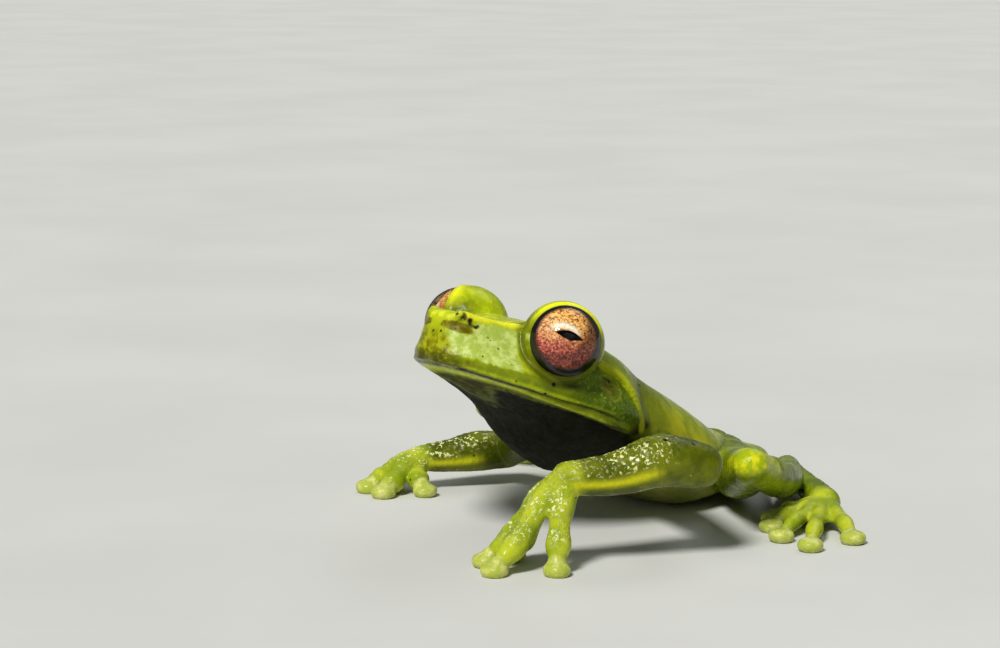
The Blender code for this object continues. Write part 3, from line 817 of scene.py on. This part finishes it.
def sharpen_sockets(mesh, points):
    """Keep the hole's edge crisp where the lid meets the eyeball."""
    on_ball = np.zeros(len(points), bool)
    for side in (1, -1):
        ball = ball_place(side)
        reach = distance(points, ball)
        on_ball |= np.abs(reach - SOCKET_RADIUS) < 0.004
    ends = np.empty(len(mesh.edges) * 2, np.int32)
    mesh.edges.foreach_get("vertices", ends)
    sharp = on_ball[ends.reshape(-1, 2)].all(axis=1)
    layer = mesh.attributes.new("sharp_edge", "BOOLEAN", "EDGE")
    layer.data.foreach_set("value", sharp)


def store(mesh, name, values):
    layer = mesh.attributes.new(name, "FLOAT", "POINT")
    layer.data.foreach_set("value", np.clip(values, 0, 1).astype(np.float32))


def paint(mesh, points, part):
    """Where each colour of the skin lies, painted light and shade among them, kept as numbers on the mesh
    for the material.
    """
    x, back, up, head, rise = part["x"], part["back"], part["up"], part["head"], part["rise"]
    wobble = drift(points, 0.7, 31) * 0.5 + drift(points, 0.3, 37) * 0.3
    ragged = drift(points, 0.22, 41) * 0.2 + wobble * 0.4
    reach = 1 - ease(12.5, 15.0, back)
    lip = bell(up - lower_lip_height(back), 0.13) + 0.4 * bell(up - mouth_height(back) - 0.22, 0.12)
    lip *= head * reach * ease(1.5, 3.2, back)
    # Painted shade: a dark line along the mouth's groove
    mouth_line_shade = bell(up - mouth_height(back), 0.07) * head * reach * ease(1.6, 2.6, back)
    canthus = np.zeros(len(points))
    fold = np.zeros(len(points))
    for side in (1, -1):
        canthus = np.maximum(canthus, 1 - ease(0.0, 0.42, face_line(points, CANTHUS, 0.12, side)))
        fold = np.maximum(fold, 1 - ease(0.0, 0.22, face_line(points, FOLD, 0.26, side)))
    # The pale loreal patch in front of the eye: partly a paler skin, partly a painted reflection of the
    # light on the wet skin, with ragged edges
    ceiling = 2.15 + 1.1 * ease(2.2, 3.0, back) + 0.3 * ease(3.0, 4.5, back)
    lore_and_reflection = ease(0.0, 0.25, back - 1.05 - 0.6 * np.clip(1.69 - up, 0, 2) + ragged * 0.3)
    lore_and_reflection *= 1 - ease(5.55, 5.75, back + ragged * 0.25)
    lore_and_reflection *= ease(0.5, 0.66, up + ragged * 0.5)
    lore_and_reflection *= 1 - ease(-0.1, 0.15, up - ceiling + ragged * 0.3)
    lore_and_reflection *= ease(0.5, 0.9, np.abs(x)) * head
    # Painted shadow: the head's underside behind the chin, and the chest beneath it, are painted near
    # black where shade falls from above
    middle_back = back + wobble * 1.5 - 2.4 * ease(3.2, 0.8, np.abs(x))
    dark_from = ease(-0.7, -0.95, up + ragged * 0.25) * ease(4.0, 6.8, middle_back)
    front = ease(6.0, -2.0, points[:, 1])
    shadowed_throat = head * dark_from + ease(0.15, -0.35, rise) * (1 - part["limb"]) * front * (1 - head)
    # Painted shade: the chin under the lower lip is painted dark olive
    shaded_chin = head * ease(-0.45, -0.75, up + ragged * 0.2) * (1 - dark_from)
    belly = ease(0.0, -0.5, rise) * (1 - part["limb"]) * (1 - front)
    lids, rims, shade, sides = (np.zeros(len(points)) for _ in range(4))
    for side in (1, -1):
        centre = np.array(eye_place(side))
        axis = np.array(eye_axis(side))
        away = points - centre
        lids = np.maximum(lids, 1 - ease(3.3, 3.9, np.linalg.norm(away, axis=1)))
        along = away @ axis
        radial = np.linalg.norm(away - along[:, None] * axis, axis=1)
        ahead = ease(0.0, 2.0, -(away @ np.array(HEAD_BACK)))
        above = ease(0.2, 1.8, away[:, 2] - ahead * 1.3)
        dome = 1 - ease(3.3, 3.9, np.linalg.norm(away, axis=1))
        # Painted shade: the lower and front side of each lid's dome is painted darker
        sides = np.maximum(sides, dome * ease(1.9, 0.6, away[:, 2] - ahead * 1.1) * ease(-1.6, 0.2, along))
        # The lid's yellow rim round the eye, painted near white and mostly on its upper side: partly a
        # real rim, partly painted light from above
        rims = np.maximum(rims, bell(radial - 2.85, 0.34) * bell(along - 1.4, 0.6) * (0.08 + 0.92 * above))
        # Painted shade: a dark band under each eye's dome, where shade falls
        below = ease(0.2, -2.0, away[:, 2])
        shade = np.maximum(shade, bell(np.linalg.norm(away, axis=1) - 3.35, 0.55) * below)
    # Painted light: the head's surfaces that face up, from the snout back over the eyes, are painted
    # lighter
    top = head * ease(0.2, 0.8, rise) * ease(13.0, 8.0, back)
    tip = head * (1 - ease(0.9, 2.4, back + wobble * 0.8)) * (1 - ease(1.2, 2.4, up))
    muzzle = head * (1 - ease(1.8, 4.2, back + wobble)) * (1 - ease(-0.1, 0.7, up + ragged))
    spots, smudge, brown, drum, ring = (np.zeros(len(points)) for _ in range(5))
    spot_places = [
        (head_point(across * side, far, high), size)
        for side in (1, -1)
        for across, far, high, size in HEAD_SPOTS
    ]
    spot_places += [(Vector(spot[:3]), spot[3]) for spot in ARM_SPOTS]
    for place, size in spot_places:
        away = distance(points, place)
        middle = points[np.argmin(away)]
        away = distance(points, middle) + ragged * size * 0.6
        spots = np.maximum(spots, 1 - ease(size * 0.75, size * 1.15, away))
    for side in (1, -1):
        for across, far, high, size in SMUDGES:
            place = np.array(head_point(across * side, far, high))
            away = distance(points, place) + ragged * 0.7
            smudge = np.maximum(smudge, 1 - ease(size * 0.6, size * 1.25, away))
        off = (points - np.array(head_point(1.75 * side, 1.7, 2.5))) @ np.array((HEAD_BACK, HEAD_UP)).T
        off = np.hypot(off[:, 0] / 0.85, off[:, 1] / 0.42) + ragged * 0.5
        brown = np.maximum(brown, (1 - ease(0.75, 1.05, off)) * ease(0.4, 0.8, x * side))
        centre = np.array(head_point(DRUM[0] * side, *DRUM[1:]))
        away = distance(points, centre)
        drum = np.maximum(drum, 1 - ease(0.7, 1.0, away))
        rear = ease(-0.4, 0.7, (points - centre) @ np.array(HEAD_BACK))
        ring = np.maximum(ring, bell(away - DRUM_RADIUS, 0.1) * rear)
    knees = nearest_of(points, [LEFT_LEG["knee"], RIGHT_LEG["knee"]]) + ragged
    knee = part["legs"] * (1 - ease(2.0, 4.4, knees + ragged * 2)) * ease(-0.6, 0.2, rise)
    flank = (1 - head) * (1 - part["limb"]) * ease(0.75, 0.1, rise)
    fringe = np.zeros(len(points))
    for side in ("left", "right"):
        away, way = part["limbs"][f"fore_{side}"]
        low = bell(rise + 0.25, 0.22) * ease(0.3, 0.5, way)
        fringe = np.maximum(fringe, (1 - ease(0.2, 0.7, away)) * low)
    masks = {
        "lip": lip, "mouth_line_shade": mouth_line_shade, "canthus": canthus * head, "lore_and_reflection": lore_and_reflection,
        "shadowed_throat": np.clip(shadowed_throat, 0, 1), "shaded_chin": shaded_chin, "belly": belly, "lid": lids * head, "rim": rims,
        "lid_side_shade": sides * head, "shade": shade * head, "top": top, "tip": tip, "muzzle": muzzle,
        "fold": fold, "cheek": part["cheek"], "drum": drum * head, "ring": ring * head, "spot": spots,
        "smudge": smudge * head, "brown": brown * head, "flank": flank,
        "nape": (1 - head) * (1 - part["limb"]) * ease(5.0, 0.5, points[:, 1]), "glint": part["glint"],
        "fringe": fringe, "arm": part["arms"], "hand": np.maximum(part["hands"], part["feet"]),
        "leg": part["legs"], "knee": knee, "disc": part["disc"], "head": head,
    }
    for name, values in masks.items():
        store(mesh, name, values)


# Material helpers

class Nodes:
    """Short names for building a node tree."""

    def __init__(self, material):
        material.use_nodes = True
        self.tree = material.node_tree
        self.shader = self.tree.nodes["Principled BSDF"]

    def plug(self, value, socket):
        if isinstance(value, bpy.types.NodeSocket):
            self.tree.links.new(value, socket)
        elif isinstance(value, (tuple, list)) and len(value) == 3 and socket.type == "RGBA":
            socket.default_value = (*value, 1.0)
        else:
            socket.default_value = value

    def attribute(self, name):
        node = self.tree.nodes.new("ShaderNodeAttribute")
        node.attribute_name = name
        return node.outputs["Fac"]

    def place(self):
        return self.tree.nodes.new("ShaderNodeTexCoord").outputs["Object"]

    def math(self, operation, first, second=0.0, clamp=False):
        node = self.tree.nodes.new("ShaderNodeMath")
        node.operation = operation
        node.use_clamp = clamp
        for value, socket in zip((first, second), node.inputs):
            self.plug(value, socket)
        return node.outputs[0]

    def times(self, first, second):
        return self.math("MULTIPLY", first, second)

    def fill(self, node, **values):
        """Plain numbers for a node's inputs, named with underscores for spaces."""
        for name, value in values.items():
            node.inputs[name.replace("_", " ")].default_value = value

    def mix(self, factor, first, second):
        node = self.tree.nodes.new("ShaderNodeMix")
        node.data_type = "RGBA"
        self.plug(factor, node.inputs["Factor"])
        self.plug(first, node.inputs[6])
        self.plug(second, node.inputs[7])
        return node.outputs[2]

    def noise(self, scale, detail=3.0, roughness=0.5, vector=None, distortion=0.0):
        node = self.tree.nodes.new("ShaderNodeTexNoise")
        self.plug(vector or self.place(), node.inputs["Vector"])
        self.fill(node, Scale=scale, Detail=detail, Roughness=roughness, Distortion=distortion)
        return node.outputs["Fac"]

    def cells(self, scale, feature="F1"):
        node = self.tree.nodes.new("ShaderNodeTexVoronoi")
        node.feature = feature
        self.plug(self.place(), node.inputs["Vector"])
        self.fill(node, Scale=scale)
        return node

    def range(self, value, low, high, start=0.0, end=1.0):
        node = self.tree.nodes.new("ShaderNodeMapRange")
        node.interpolation_type = "SMOOTHSTEP"
        self.plug(value, node.inputs["Value"])
        self.fill(node, From_Min=low, From_Max=high, To_Min=start, To_Max=end)
        return node.outputs["Result"]

    def bump(self, height, distance, strength=1.0, normal=None):
        node = self.tree.nodes.new("ShaderNodeBump")
        self.fill(node, Strength=strength, Distance=distance)
        self.plug(height, node.inputs["Height"])
        if normal is not None:
            self.plug(normal, node.inputs["Normal"])
        return node.outputs["Normal"]

    def set(self, **values):
        for name, value in values.items():
            self.plug(value, self.shader.inputs[name.replace("_", " ")])


def colour(red, green, blue):
    """A colour given as it looks on a screen, 0 to 255, as Blender's linear numbers."""
    def linear(value):
        value /= 255.0
        return value / 12.92 if value <= 0.04045 else ((value + 0.055) / 1.055) ** 2.4

    return (linear(red), linear(green), linear(blue))


# The skin's colours by region, each laid over the ones before it: region, the noise that mixes its
# two shades, and the shades as they look on a screen, 0 to 255; some regions are painted light and shade,
# as noted at each
SKIN_COLOURS = (
    ("flank", "patch", (158, 166, 8), (204, 196, 14)),
    ("nape", "patch", (104, 116, 8), (134, 144, 12)),
    ("head", "patch", (118, 136, 10), (158, 172, 16)),
    # painted light on the head's upward faces
    ("top", "grit", (192, 204, 22), (228, 234, 56)),
    ("lid", "grit", (172, 190, 14), (200, 212, 24)),
    # painted shade on the lid's lower and front side
    ("lid_side_shade", "grit", (98, 110, 8), (128, 140, 16)),
    # painted shade under the eye
    ("shade", None, (48, 60, 5), None),
    ("cheek", "patch", (88, 114, 10), (120, 144, 16)),
    ("tip", "grit", (120, 116, 8), (172, 178, 20)),
    ("muzzle", "grit", (74, 76, 6), (120, 122, 12)),
    ("arm", "patch", (76, 86, 5), (112, 120, 10)),
    ("leg", "patch", (96, 116, 10), (140, 156, 20)),
    ("knee", "grit", (164, 184, 20), (226, 222, 30)),
    ("hand", "patch", (144, 164, 24), (190, 200, 46)),
    ("disc", "grit", (178, 190, 76), (216, 216, 128)),
    ("fringe", None, (214, 214, 22), None),
    # loreal patch: partly paler skin, partly painted reflection
    ("lore_and_reflection", "grit", (172, 192, 80), (206, 220, 124)),
    ("brown", "grit", (96, 88, 10), (140, 136, 22)),
    ("drum", "grit", (112, 120, 10), (150, 146, 20)),
    ("ring", None, (150, 158, 24), None),
    # painted shade under the jaw
    ("shaded_chin", "grit", (40, 42, 4), (84, 84, 12)),
    # painted shadow on the throat and chest
    ("shadowed_throat", "patch", (5, 6, 1), (16, 18, 5)),
    ("belly", "patch", (140, 148, 66), (172, 174, 100)),
    ("fold", None, (186, 194, 24), None),
    ("canthus", None, (240, 238, 44), None),
    ("lip", "grit", (176, 190, 28), (216, 224, 58)),
    # the lid's rim: partly real yellow, partly painted light on its top
    ("rim", None, (252, 252, 40), None),
    # painted shade in the mouth's groove
    ("mouth_line_shade", None, (40, 48, 4), None),
)


def skin_material():
    made = bpy.data.materials.new("wet_skin")
    n = Nodes(made)
    wide = n.noise(420.0, 3.0, 0.55)
    mid = n.noise(1500.0, 4.0, 0.6)
    fine = n.noise(5200.0, 3.0, 0.6)
    patch = n.range(wide, 0.38, 0.64)
    grit = n.range(mid, 0.42, 0.66)
    base = n.mix(patch, colour(138, 154, 10), colour(186, 194, 14))
    noises = {"patch": patch, "grit": grit}
    for region, noise, first, second in SKIN_COLOURS:
        tone = n.mix(noises[noise], colour(*first), colour(*second)) if noise else colour(*first)
        base = n.mix(n.attribute(region), base, tone)
    smudge = n.times(n.attribute("smudge"), n.range(mid, 0.38, 0.56, 0.25, 1.0))
    base = n.mix(smudge, base, colour(40, 30, 16))
    upper = n.math("SUBTRACT", 1.0, n.attribute("shadowed_throat"), clamp=True)
    dots = n.cells(950.0)
    dark = n.range(dots.outputs["Distance"], 0.11, 0.07)
    chance = n.math("GREATER_THAN", n.noise(700.0, 1.0), 0.58)
    dark = n.times(n.times(dark, chance), upper)
    base = n.mix(dark, base, colour(34, 34, 8))
    flecks = n.cells(1400.0)
    pale = n.range(flecks.outputs["Distance"], 0.15, 0.08, 0.0, 0.8)
    pale = n.times(pale, n.math("GREATER_THAN", n.noise(900.0, 1.0), 0.58))
    base = n.mix(n.times(pale, upper), base, colour(214, 212, 90))
    # Painted highlights: the wet granules on the forearms and hands get near-white tips
    bead_glint = n.range(n.noise(3400.0, 2.0, 0.6, distortion=0.6), 0.54, 0.6)
    where = n.times(n.attribute("glint"), n.range(n.noise(500.0, 2.0), 0.42, 0.52, 0.25, 1.0))
    base = n.mix(n.times(bead_glint, where), base, colour(240, 242, 170))
    # Painted highlights: pale tips on the cheek's granules
    where = n.times(n.attribute("cheek"), n.range(mid, 0.46, 0.62, 0.0, 0.8))
    base = n.mix(n.times(bead_glint, where), base, colour(168, 192, 60))
    base = n.mix(n.range(fine, 0.3, 0.7, 0.0, 0.22), base, n.mix(0.5, base, colour(60, 66, 4)))
    base = n.mix(n.attribute("spot"), base, colour(10, 10, 4))
    rough = n.range(mid, 0.3, 0.7, 0.16, 0.36)
    matt = n.math("MAXIMUM", n.attribute("shadowed_throat"), n.attribute("shaded_chin"))
    matt = n.math("MAXIMUM", matt, n.times(n.attribute("flank"), 0.6))
    rough = n.math("ADD", rough, n.times(matt, 0.6), clamp=True)
    n.set(Base_Color=base, Roughness=rough)
    n.set(Subsurface_Weight=0.1, Subsurface_Scale=0.0007, Specular_IOR_Level=0.3)
    n.set(Subsurface_Radius=(1.0, 0.9, 0.35), IOR=1.36)
    pores = n.cells(3600.0, "SMOOTH_F1")
    bump = n.bump(pores.outputs["Distance"], 0.00005, 0.4)
    bump = n.bump(fine, 0.00004, 0.4, bump)
    beads = n.times(bead_glint, n.math("MAXIMUM", n.attribute("glint"), n.attribute("cheek")))
    bump = n.bump(beads, 0.00007, 0.9, bump)
    n.set(Normal=bump)
    return made


def iris_material():
    made = bpy.data.materials.new("iris")
    n = Nodes(made)
    place = n.place()
    split = n.tree.nodes.new("ShaderNodeSeparateXYZ")
    n.plug(place, split.inputs[0])
    across, high = split.outputs[0], split.outputs[1]
    radius = n.math("SQRT", n.math("ADD", n.math("POWER", across, 2.0), n.math("POWER", high, 2.0)))
    turn = n.math("ARCTAN2", high, across)
    spokes = n.tree.nodes.new("ShaderNodeCombineXYZ")
    n.plug(n.times(turn, 3.2), spokes.inputs[0])
    n.plug(n.times(radius, 2600.0), spokes.inputs[1])
    fibre = n.noise(2.4, 5.0, 0.7, spokes.outputs[0])
    cloud = n.noise(700.0, 4.0, 0.6)
    level = n.math("ADD", high, n.times(n.math("SUBTRACT", cloud, 0.5), 0.0022))
    level = n.range(level, -0.0012, 0.0012)
    base = n.mix(level, colour(166, 62, 44), colour(255, 182, 76))
    pale = n.mix(level, colour(232, 132, 106), colour(255, 222, 136))
    base = n.mix(n.range(fibre, 0.45, 0.65, 0.0, 0.9), base, pale)
    deep = n.mix(level, colour(92, 20, 22), colour(176, 74, 24))
    base = n.mix(n.range(fibre, 0.48, 0.34, 0.0, 0.9), base, deep)
    base = n.mix(n.range(across, 0.0002, 0.0021, 0.0, 0.6), base, colour(150, 54, 34))
    vein = n.cells(2000.0, "DISTANCE_TO_EDGE")
    web = n.range(vein.outputs["Distance"], 0.12, 0.02, 0.0, 0.85)
    web = n.times(web, n.range(n.noise(2600.0, 4.0, 0.7), 0.42, 0.56))
    base = n.mix(web, base, colour(76, 18, 12))
    grit = n.noise(5200.0, 3.0, 0.8)
    base = n.mix(n.range(grit, 0.53, 0.62, 0.0, 0.9), base, colour(96, 24, 16))
    bright = n.mix(level, colour(240, 158, 128), colour(255, 238, 166))
    base = n.mix(n.range(grit, 0.45, 0.37, 0.0, 0.7), base, bright)
    # A near-white arc above the pupil: partly a pale band in the iris, partly a painted reflection of the
    # light
    along = n.math("DIVIDE", n.math("ADD", across, 0.00028), 0.00128)
    arc_high = n.math("SUBTRACT", 0.00078, n.times(n.math("POWER", along, 2.0), 0.0005))
    off = n.math("DIVIDE", n.math("SUBTRACT", high, arc_high), 0.00023)
    arc = n.math("POWER", 2.718, n.times(n.math("POWER", off, 2.0), -1.0))
    arc = n.times(arc, n.range(n.math("ABSOLUTE", along), 1.1, 0.5))
    base = n.mix(n.times(arc, n.range(fibre, 0.3, 0.56, 0.45, 1.0)), base, colour(255, 252, 226))
    base = n.mix(n.range(radius, 0.00205, 0.00228, 0.0, 0.85), base, colour(70, 14, 14))
    n.set(Base_Color=base, Roughness=0.45)
    n.set(Specular_IOR_Level=0.35)
    n.set(Normal=n.bump(fibre, 0.00006, 0.5))
    return made


def dark_material():
    made = bpy.data.materials.new("eye_dark")
    n = Nodes(made)
    grain = n.range(n.noise(1800.0, 3.0), 0.3, 0.7)
    n.set(Base_Color=n.mix(grain, colour(3, 2, 5), colour(8, 9, 16)), Roughness=0.3)
    return made


def cornea_material():
    made = bpy.data.materials.new("cornea")
    n = Nodes(made)
    fresnel = n.tree.nodes.new("ShaderNodeFresnel")
    fresnel.inputs["IOR"].default_value = 1.27
    n.set(Base_Color=(1.0, 1.0, 1.0), Roughness=0.03, Metallic=1.0, Alpha=fresnel.outputs[0])
    return made


# The eyes

def pupil_edge(angle):
    """Leaf outline with pointed ends and a small dip in its lower side, in the eye's own frame."""
    across = math.cos(angle)
    high = math.sin(angle)
    shape = 1 - abs(across) ** 1.7
    rise = PUPIL_HALF_HEIGHT * shape * (1.0 if high > 0 else 0.82)
    if high < 0:
        rise += 0.07 * math.exp(-(((across - 0.15) / 0.16) ** 2))
    return PUPIL_OFFSET[0] + PUPIL_HALF_LENGTH * across, PUPIL_OFFSET[1] + math.copysign(rise, high)


def sphere_ring(radius, turn, angles):
    """A ring of a ball, that far round from its front."""
    wide, height = radius * math.sin(turn), radius * math.cos(turn)
    return [(wide * math.cos(angle), wide * math.sin(angle), height) for angle in angles]


def finish_eye_piece(form, name, matrix):
    """Turn a drawn form into a smooth object in its place."""
    bmesh.ops.recalc_face_normals(form, faces=form.faces)
    mesh = bpy.data.meshes.new(name)
    form.to_mesh(mesh)
    form.free()
    mesh.shade_smooth()
    item = link(name, mesh)
    item.matrix_world = matrix
    return item


def eye_globe(side):
    """Iris with a real pupil hole, sunk under the clear front, and the dark ball behind it."""
    name = "left" if side > 0 else "right"
    form = bmesh.new()
    count = 160
    rings = []
    shape = []
    edge_height = math.sqrt(GLOBE_RADIUS**2 - IRIS_RADIUS**2)
    sag = IRIS_FRONT - edge_height
    curve = (IRIS_RADIUS**2 + sag**2) / (2 * sag)

    def iris_height(x, y):
        flat = x * x + y * y
        return IRIS_FRONT - curve + math.sqrt(max(curve * curve - flat, 0.0))

    angles = [2 * math.pi * (k + 0.5) / count for k in range(count)]
    inner = [pupil_edge(angle) for angle in angles]
    middle_x, middle_y = PUPIL_OFFSET
    well = ((0.5, PUPIL_DEPTH), (0.85, PUPIL_DEPTH * 0.9), (0.97, PUPIL_DEPTH * 0.5), (0.985, 0.12))
    for share, depth in well:
        ring = []
        for x, y in inner:
            px, py = middle_x + (x - middle_x) * share, middle_y + (y - middle_y) * share
            ring.append((px, py, iris_height(x, y) - depth))
        rings.append(ring)
        shape.append("dark")
    steps = 44
    for step in range(steps + 1):
        t = step / steps
        ring = []
        for (x, y), angle in zip(inner, angles):
            ex, ey = IRIS_RADIUS * math.cos(angle), IRIS_RADIUS * math.sin(angle)
            px, py = x + (ex - x) * t, y + (ey - y) * t
            lip = 0.05 * math.exp(-((t / 0.05) ** 2))
            ring.append((px, py, iris_height(px, py) - lip))
        rings.append(ring)
        shape.append("iris")
    start = math.asin(IRIS_RADIUS / GLOBE_RADIUS)
    for step in range(1, 30):
        turn = start + (math.pi - start) * step / 30
        rings.append(sphere_ring(GLOBE_RADIUS, turn, angles))
        shape.append("ring")
    rows = [[form.verts.new(Vector(point) * MM) for point in ring] for ring in rings]
    for index, (low, high) in enumerate(zip(rows, rows[1:])):
        kind = 0 if shape[index] == "iris" and shape[index + 1] == "iris" else 1
        for k in range(count):
            after = (k + 1) % count
            face = form.faces.new((low[k], low[after], high[after], high[k]))
            face.material_index = kind
    middle = Vector((*PUPIL_OFFSET, iris_height(*PUPIL_OFFSET) - PUPIL_DEPTH)) * MM
    for row, pole in ((rows[0], middle), (rows[-1], Vector((0, 0, -GLOBE_RADIUS * MM)))):
        tip = form.verts.new(pole)
        for k in range(count):
            face = form.faces.new((row[k], row[(k + 1) % count], tip))
            face.material_index = 1
    return finish_eye_piece(form, f"eye_globe_{name}", eye_matrix(side, GAZE[side]))


def eye_matrix(side, shift=Vector((0.0, 0.0, 0.0))):
    centre = ball_place(side) - MODEL_CENTRE
    return Matrix.Translation(centre * MM) @ eye_frame(side, shift)


def cornea(side):
    name = "left" if side > 0 else "right"
    form = bmesh.new()
    count, steps, reach = 96, 36, math.radians(72)
    angles = [2 * math.pi * k / count for k in range(count)]
    rings = []
    for step in range(1, steps + 1):
        rings.append(sphere_ring(CORNEA_RADIUS, reach * step / steps, angles))
    rows = [[form.verts.new(Vector(point) * MM) for point in ring] for ring in rings]
    tip = form.verts.new(Vector((0, 0, CORNEA_RADIUS * MM)))
    for k in range(count):
        form.faces.new((rows[0][k], rows[0][(k + 1) % count], tip))
    for low, high in zip(rows, rows[1:]):
        for k in range(count):
            after = (k + 1) % count
            form.faces.new((low[k], high[k], high[after], low[after]))
    return finish_eye_piece(form, f"cornea_{name}", eye_matrix(side))


# Floor, lights and camera

def floor_material():
    made = bpy.data.materials.new("floor")
    n = Nodes(made)
    tone = n.range(n.noise(30.0, 3.0), 0.3, 0.7)
    n.set(Base_Color=n.mix(tone, (0.66, 0.66, 0.64), (0.7, 0.7, 0.68)), Roughness=0.7)
    return made


def outward(azimuth, elevation):
    """Direction from the model to something seen that far round from its front and that high."""
    turn, rise = math.radians(azimuth), math.radians(elevation)
    return Vector((math.sin(turn) * math.cos(rise), -math.cos(turn) * math.cos(rise), math.sin(rise)))


def studio():
    form = bmesh.new()
    bmesh.ops.create_circle(form, cap_ends=True, segments=96, radius=6.0)
    mesh = bpy.data.meshes.new("floor")
    form.to_mesh(mesh)
    form.free()
    floor = link("floor", mesh)
    floor.location = (0.0, 0.0, -0.00002)
    floor.data.materials.append(floor_material())

    world = bpy.data.worlds.new("studio")
    bpy.context.scene.world = world
    world.use_nodes = True
    sky = world.node_tree.nodes["Background"]
    sky.inputs[0].default_value = (0.86, 0.9, 0.92, 1.0)
    sky.inputs[1].default_value = 0.2

    aim = (VIEW_AIM - MODEL_CENTRE) * MM
    for name, azimuth, elevation, spread, power, tint in (
        ("key", 22.0, 50.0, 14.0, 3.1, (1.0, 0.99, 0.94)),
        ("back", 200.0, 48.0, 30.0, 0.35, (0.97, 0.99, 1.0)),
    ):
        data = bpy.data.lights.new(name, "SUN")
        data.angle = math.radians(spread)
        data.energy = power
        data.color = tint
        lamp = link(name, data)
        out = outward(azimuth, elevation)
        lamp.location = Vector(aim) + out
        lamp.rotation_mode = "QUATERNION"
        lamp.rotation_quaternion = out.to_track_quat("Z", "Y")
    bpy.context.scene.view_settings.view_transform = "Standard"


def camera():
    out = outward(VIEW_AZIMUTH, VIEW_ELEVATION)
    data = bpy.data.cameras.new("camera")
    data.lens = VIEW_LENS
    data.sensor_width = 36.0
    data.clip_start = 0.01
    data.clip_end = 20.0
    item = link("camera", data)
    item.location = (VIEW_AIM - MODEL_CENTRE + out * VIEW_DISTANCE) * MM
    item.rotation_mode = "QUATERNION"
    item.rotation_quaternion = out.to_track_quat("Z", "Y")
    bpy.context.scene.camera = item


def build():
    skin = fused_skin()
    open_sockets(skin)
    mesh = skin.data
    points, normals = read_rows(mesh.vertices, "co"), read_rows(mesh.vertex_normals, "vector")
    part = regions(points, normals)
    paint(mesh, points, part)
    points = carve(points, normals, part)
    points[:, 2] = np.maximum(points[:, 2], 0.0)
    write_points(mesh, (points - np.array(MODEL_CENTRE)) * MM)
    mesh.shade_smooth()
    sharpen_sockets(mesh, points)
    mesh.materials.clear()
    mesh.materials.append(skin_material())
    flesh = [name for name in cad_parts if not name.startswith("eye_")]
    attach(skin, "root")
    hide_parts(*flesh)

    iris, dark, clear = iris_material(), dark_material(), cornea_material()
    for side, name in ((1, "left"), (-1, "right")):
        globe = eye_globe(side)
        globe.data.materials.append(iris)
        globe.data.materials.append(dark)
        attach(globe, "root")
        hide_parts(f"eye_{name}")
        front = cornea(side)
        front.data.materials.append(clear)
        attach(front, "root")


build()
studio()
camera()
